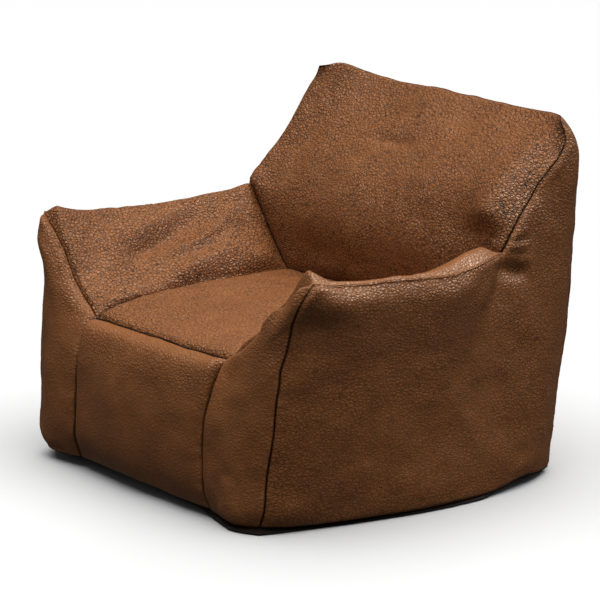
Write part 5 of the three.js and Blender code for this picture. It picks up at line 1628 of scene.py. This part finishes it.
# ---------------------------------------------------------------- the zip low on the back
ZF = ZIP_Y + SY                                        # face of the rear panels at the zip
for sign, word in ((1, "upper"), (-1, "lower")):
    xs = np.linspace(-342, 342, 245)
    zs = np.array([0.9, 2.2, 3.6, 4.4, 6.5, 9.0, 11.5, 14.0, 16.2, 17.3, 18.0])
    X, Zg = np.meshgrid(xs, zs, indexing="ij")
    wob = 0.25 * noise(np.stack([X, X * 0, Zg * 2], -1), 24, 111 + sign) * ease((Zg - 3.4) / 5)
    step = 0.18 * np.exp(-((Zg - 4.0) / 0.5) ** 2)
    G = np.stack([X, ZF - 2.8 + wob + step, 160 + sign * Zg], -1)
    if sign > 0:
        G = G[:, ::-1]
    V, Q = sheet_solid(G, 0.55)
    o = new_object("zip_tape_" + word + "_woven", V, Q, None, material=MAT_ZTAPE)
    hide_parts("zip_tape_" + word)
    # the coil: one continuous nylon spiral
    pitch, per = 1.5, 10
    turns = int(666 / pitch)
    th = np.arange(turns * per + 1) / per * 2 * math.pi
    x = -333 + pitch * th / (2 * math.pi) + (pitch / 2 if sign < 0 else 0)
    path = np.stack([x, ZF - 1.30 + 0.46 * np.sin(th), 160 + sign * (2.12 - 1.12 * np.cos(th))], 1)
    V, Q, T = tube(path, 0.30, 6, up=(1, 0, 0))
    o = new_object("zip_coil_" + word + "_spiral", V, Q, T, material=MAT_COIL)
    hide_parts("zip_coil_" + word)
    # the row of stitches that holds the folded edge of the panel to the tape
    parts = []
    for x0 in np.arange(-341, 341.1, 4.0):
        ends = [hit((x0 + dx, 700, 160 + sign * (ZIP_SLOT + 3.2)), (0, -1, 0)) for dx in (-1.35, 0.0, 1.35)]
        if any(e is None for e in ends):
            continue
        e = np.array(ends)
        e[:, 1] += [-0.35, 0.12, -0.35]
        fine = spline_raw(e, 3)
        parts.append(tube(fine, 0.34, 6))
    o = new_object("zip_stitches_" + word, *joined(parts), material=MAT_THREAD)

for x0, word in ((340, "closed"), (-340, "open")):
    s = 1 if x0 > 0 else -1
    shells = [slab(stadium(x0 - 1.9, x0 + 1.9, 160 - 3.3, 160 + 3.3, 1.1), ZF - 2.05, ZF - 0.5, 0.2)]
    if word == "open":
        shells.append(slab(stadium(x0 - 1.2, x0 + 1.2, 160 - 2.4, 160 + 2.4, 0.9), ZF - 1.0, ZF - 0.35, 0.1))
    else:
        for z0 in (158.2, 161.8):
            shells.append(slab(stadium(x0 - 1.5, x0 + 1.5, z0 - 1.2, z0 + 1.2, 0.8), ZF - 1.0, ZF - 0.35, 0.1))
    v, q, t = fused(shells, 0.16, 2)
    o = new_object("zip_stop_" + word + "_end", v, q, t, material=MAT_METAL)
    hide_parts("zip_" + word + "_end_stop")

# slider: two plates on a neck, with side walls and a bail for the pull
SX = 322.0


def slider_outline(grow=0.0):
    t = np.linspace(0, 2 * math.pi, 72, endpoint=False)
    x = 8.0 * np.sign(np.cos(t)) * np.abs(np.cos(t)) ** 0.55
    z = np.sign(np.sin(t)) * np.abs(np.sin(t)) ** 0.6
    wide = 4.75 + 0.75 * np.clip((x + 1.0) / 7.0, -1, 1)
    return np.stack([SX + x, 160 + z * (wide + grow)], 1)


shells = [slab(slider_outline(), ZF + 0.62, ZF + 1.75, 0.35), slab(slider_outline(), ZF - 5.45, ZF - 4.3, 0.0)]
shells.append(slab(stadium(SX - 5, SX + 5, 159.55, 160.45, 0.4), ZF - 4.7, ZF + 1.0))
for s in (-1, 1):
    a = np.array([160 + s * 4.35, 160 + s * 5.35])
    shells.append(slab(stadium(SX - 6.4, SX + 6.6, a.min(), a.max(), 0.45), ZF - 1.5, ZF + 1.1))
    shells.append(slab(stadium(SX - 6.4, SX + 6.6, a.min(), a.max(), 0.45), ZF - 4.9, ZF - 3.3))
th = np.linspace(0, math.pi, 15)
bail = np.stack([SX + 4.15 * np.sign(np.cos(th)) * np.abs(np.cos(th)) ** 0.6, ZF + 1.3 + 3.65 * np.sin(th) ** 0.62, 160 + 0 * th], 1)
shells.append(tube(bail, 0.72, 10, up=(0, 0, 1)))
v, q, t = fused(shells, 0.2, 2)
o = new_object("zip_slider_body", v, q, t, body="zip_slider", material=MAT_METAL)
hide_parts("zip_slider")

# pull: a stamped tab with two legs round the bail and a slot at its far end
PY = ZF + 3.3
shells = [tube(np.array([[SX, PY, 160 - 4.0], [SX, PY, 160 - 2], [SX, PY, 160.0], [SX, PY, 162], [SX, PY, 164.0]]), 0.52, 10, up=(1, 0, 0))]
for s in (-1, 1):
    shells.append(tube(np.array([[SX, PY, 160 + s * 3.8], [SX - 4, PY, 160 + s * 3.82], [SX - 8, PY, 160 + s * 3.7], [SX - 11.5, PY, 160 + s * 3.3]]), 0.56, 10, up=(0, 0, 1)))
t = np.linspace(0, 2 * math.pi, 80, endpoint=False)
x = 12.0 * np.sign(np.cos(t)) * np.abs(np.cos(t)) ** 0.5
z = np.sign(np.sin(t)) * np.abs(np.sin(t)) ** 0.5
wide = 4.25 - 0.75 * np.exp(-((x - 1.0) / 5.0) ** 2)
tab = np.stack([SX - 22.0 + x, 160 + z * wide], 1)
shells.append(slab(tab, PY - 0.5, PY + 0.42, 0.12))
rim = np.stack([SX - 22.0 + 0.93 * x, PY + 0.1 + 0 * x, 160 + 0.88 * z * wide], 1)
shells.append(tube(np.vstack([rim, rim[:1]]), 0.5, 8, up=(0, 1, 0)))
hole = slab(stadium(SX - 31.2, SX - 24.8, 158.2, 161.8, 1.7), PY - 3, PY + 3)
v, q, t = fused(shells, 0.2, 2, minus=hole)
o = new_object("zip_pull_tab", v, q, t, body="zip_pull", material=MAT_METAL)
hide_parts("zip_pull")

# ---------------------------------------------------------------- each liner's own short zip
for chamber, x0, x1, y, z in (("seat", -150, 150, 182.5, 191), ("back", -150, 150, 186.5, 231), ("right_arm", 340, 430, 182.5, 191), ("left_arm", -430, -340, 182.5, 191)):
    out = -1 if chamber == "back" else 1               # which way its face looks
    xs = np.linspace(x0 + 0.3, x1 - 0.3, int((x1 - x0) / 0.5) + 1)
    ws = np.array([-4.7, -4.0, -3.0, -2.2, -1.7, -1.2, -0.6, -0.15, 0.15, 0.6, 1.2, 1.7, 2.2, 3.0, 4.0, 4.7])
    X, Wg = np.meshgrid(xs, ws, indexing="ij")
    teeth = 0.5 + 0.5 * np.cos(2 * math.pi * (X / 3.0 + 0.5 * (Wg > 0)))
    hump = np.exp(-(np.abs(Wg) / 1.9) ** 4)
    h = 0.12 * noise(np.stack([X, X * 0, Wg * 2], -1), 20, 121) + hump * (0.16 + 0.3 * teeth)
    face = np.stack([X, y + out * (0.0 + h), z + Wg], -1)
    back = np.stack([X, np.full_like(X, y - out * 0.35), z + Wg], -1)
    nu, nv = X.shape
    a = np.arange(nu * nv).reshape(nu, nv)
    q = np.stack([a[:-1, :-1], a[1:, :-1], a[1:, 1:], a[:-1, 1:]], -1).reshape(-1, 4)      # looks towards -Y
    rim = loop_of(nu - 1, nv - 1)
    k = nu * nv
    e = np.stack([np.roll(rim, -1), rim, rim + k, np.roll(rim, -1) + k], -1)
    Q = np.vstack([q, q[:, ::-1] + k, e])
    if out > 0:
        Q = Q[:, ::-1]
    o = new_object(chamber + "_bag_zip", np.vstack([face.reshape(-1, 3), back.reshape(-1, 3)]), Q, None, material=MAT_NYLON)
    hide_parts(chamber + "_liner_zip")

# ---------------------------------------------------------------- floor, light and camera
def stage_floor():
    me = bpy.data.meshes.new("studio_floor")
    s = 45.0
    me.from_pydata([(-s, -s, 0), (s, -s, 0), (s, s, 0), (-s, s, 0)], [], [(0, 1, 2, 3)])
    o = bpy.data.objects.new("studio_floor", me)
    bpy.context.scene.collection.objects.link(o)
    n = Nodes("pale_floor")
    o.data.materials.append(n.principled(Base_Color=(FLOOR_ALBEDO, FLOOR_ALBEDO, FLOOR_ALBEDO, 1), Roughness=0.9, Specular_IOR_Level=0.1))
    # the floor is seen by the camera and takes shadows, and the room's own fill light stands in for its bounce
    o.visible_diffuse = False
    o.visible_glossy = False


FLOOR_ALBEDO = 0.62
stage_floor()


def area(name, where, look, size, watts, colour=(1, 1, 1), only_shine=False, turn=None):
    from mathutils import Vector
    d = bpy.data.lights.new(name, "AREA")
    d.shape, d.size, d.size_y = "RECTANGLE", size[0], size[1]
    d.energy, d.color = watts, colour
    o = bpy.data.objects.new(name, d)
    o.location = where
    o.rotation_mode = "QUATERNION"
    o.rotation_quaternion = (Vector(look) - Vector(where)).to_track_quat("-Z", "Y")
    if turn is not None:                                 # hangs level, its long side turned by this many degrees
        from mathutils import Quaternion
        o.rotation_quaternion = Quaternion((0, 0, 1), math.radians(turn))
    o.visible_diffuse = not only_shine
    bpy.context.scene.collection.objects.link(o)


def sun(name, direction, angle, strength):
    from mathutils import Vector
    d = bpy.data.lights.new(name, "SUN")
    d.angle, d.energy = math.radians(angle), strength
    o = bpy.data.objects.new(name, d)
    o.rotation_mode = "QUATERNION"
    o.rotation_quaternion = Vector(direction).to_track_quat("-Z", "Y")
    o.visible_glossy = False                             # a bounced light: it fills, the softboxes make the shine
    bpy.context.scene.collection.objects.link(o)


sun("overhead_soft", (-0.02, -0.10, -1.0), 80, 4.85)
area("front_softbox", (3.2, -4.2, 3.4), (0, 0, 0.4), (2.6, 2.0), 4.5)
area("right_rear_softbox", (3.6, 3.2, 3.0), (0, 0, 0.4), (3.2, 3.0), 9)
area("overhead_shine", (0.1, -0.2, 4.4), (0, 0, 0.4), (2.0, 2.0), 7, only_shine=True)
area("front_shine", (-0.63, -1.36, 4.1), (0, 0, 0.5), (1.3, 1.3), 90, only_shine=True)
area("left_rear_shine", (1.19, 2.55, 3.5), (0, 0, 0.4), (1.7, 1.5), 165, only_shine=True)


world = bpy.data.worlds.new("studio")
bpy.context.scene.world = world
world.use_nodes = True
wt = world.node_tree
bg = wt.nodes["Background"]
lp = wt.nodes.new("ShaderNodeLightPath")
mixc = wt.nodes.new("ShaderNodeMix")
mixc.data_type = "RGBA"
wt.links.new(lp.outputs["Is Camera Ray"], mixc.inputs[0])
fill = wt.nodes.new("ShaderNodeMix")                 # dark flags keep the fill light out of the reflections
fill.data_type = "RGBA"
wt.links.new(lp.outputs["Is Glossy Ray"], fill.inputs[0])
fill.inputs[6].default_value = (0.105, 0.105, 0.105, 1)
fill.inputs[7].default_value = (0.05, 0.05, 0.05, 1)
wt.links.new(fill.outputs[2], mixc.inputs[6])
mixc.inputs[7].default_value = (0.97, 0.97, 0.97, 1)
wt.links.new(mixc.outputs[2], bg.inputs[0])
bg.inputs[1].default_value = 1.0

scene = bpy.context.scene
scene.view_settings.view_transform = "Standard"
scene.view_settings.look = "None"
scene.view_settings.exposure = 0.0
scene.view_settings.gamma = 1.0

cam_data = bpy.data.cameras.new("camera")
cam = bpy.data.objects.new("camera", cam_data)
scene.collection.objects.link(cam)
CAM_AZ, CAM_EL = math.radians(52.0), math.radians(12.8739)
cam.location = (5.35935, -4.20343, 1.92786)
from mathutils import Vector
look = Vector((-math.sin(CAM_AZ) * math.cos(CAM_EL), math.cos(CAM_AZ) * math.cos(CAM_EL), -math.sin(CAM_EL)))
cam.rotation_mode = "QUATERNION"
cam.rotation_quaternion = look.to_track_quat("-Z", "Y")
cam_data.sensor_width = 36.0
cam_data.lens = 36.0 * 3087.157 / 600.0
cam_data.clip_start, cam_data.clip_end = 0.5, 200.0
scene.camera = cam
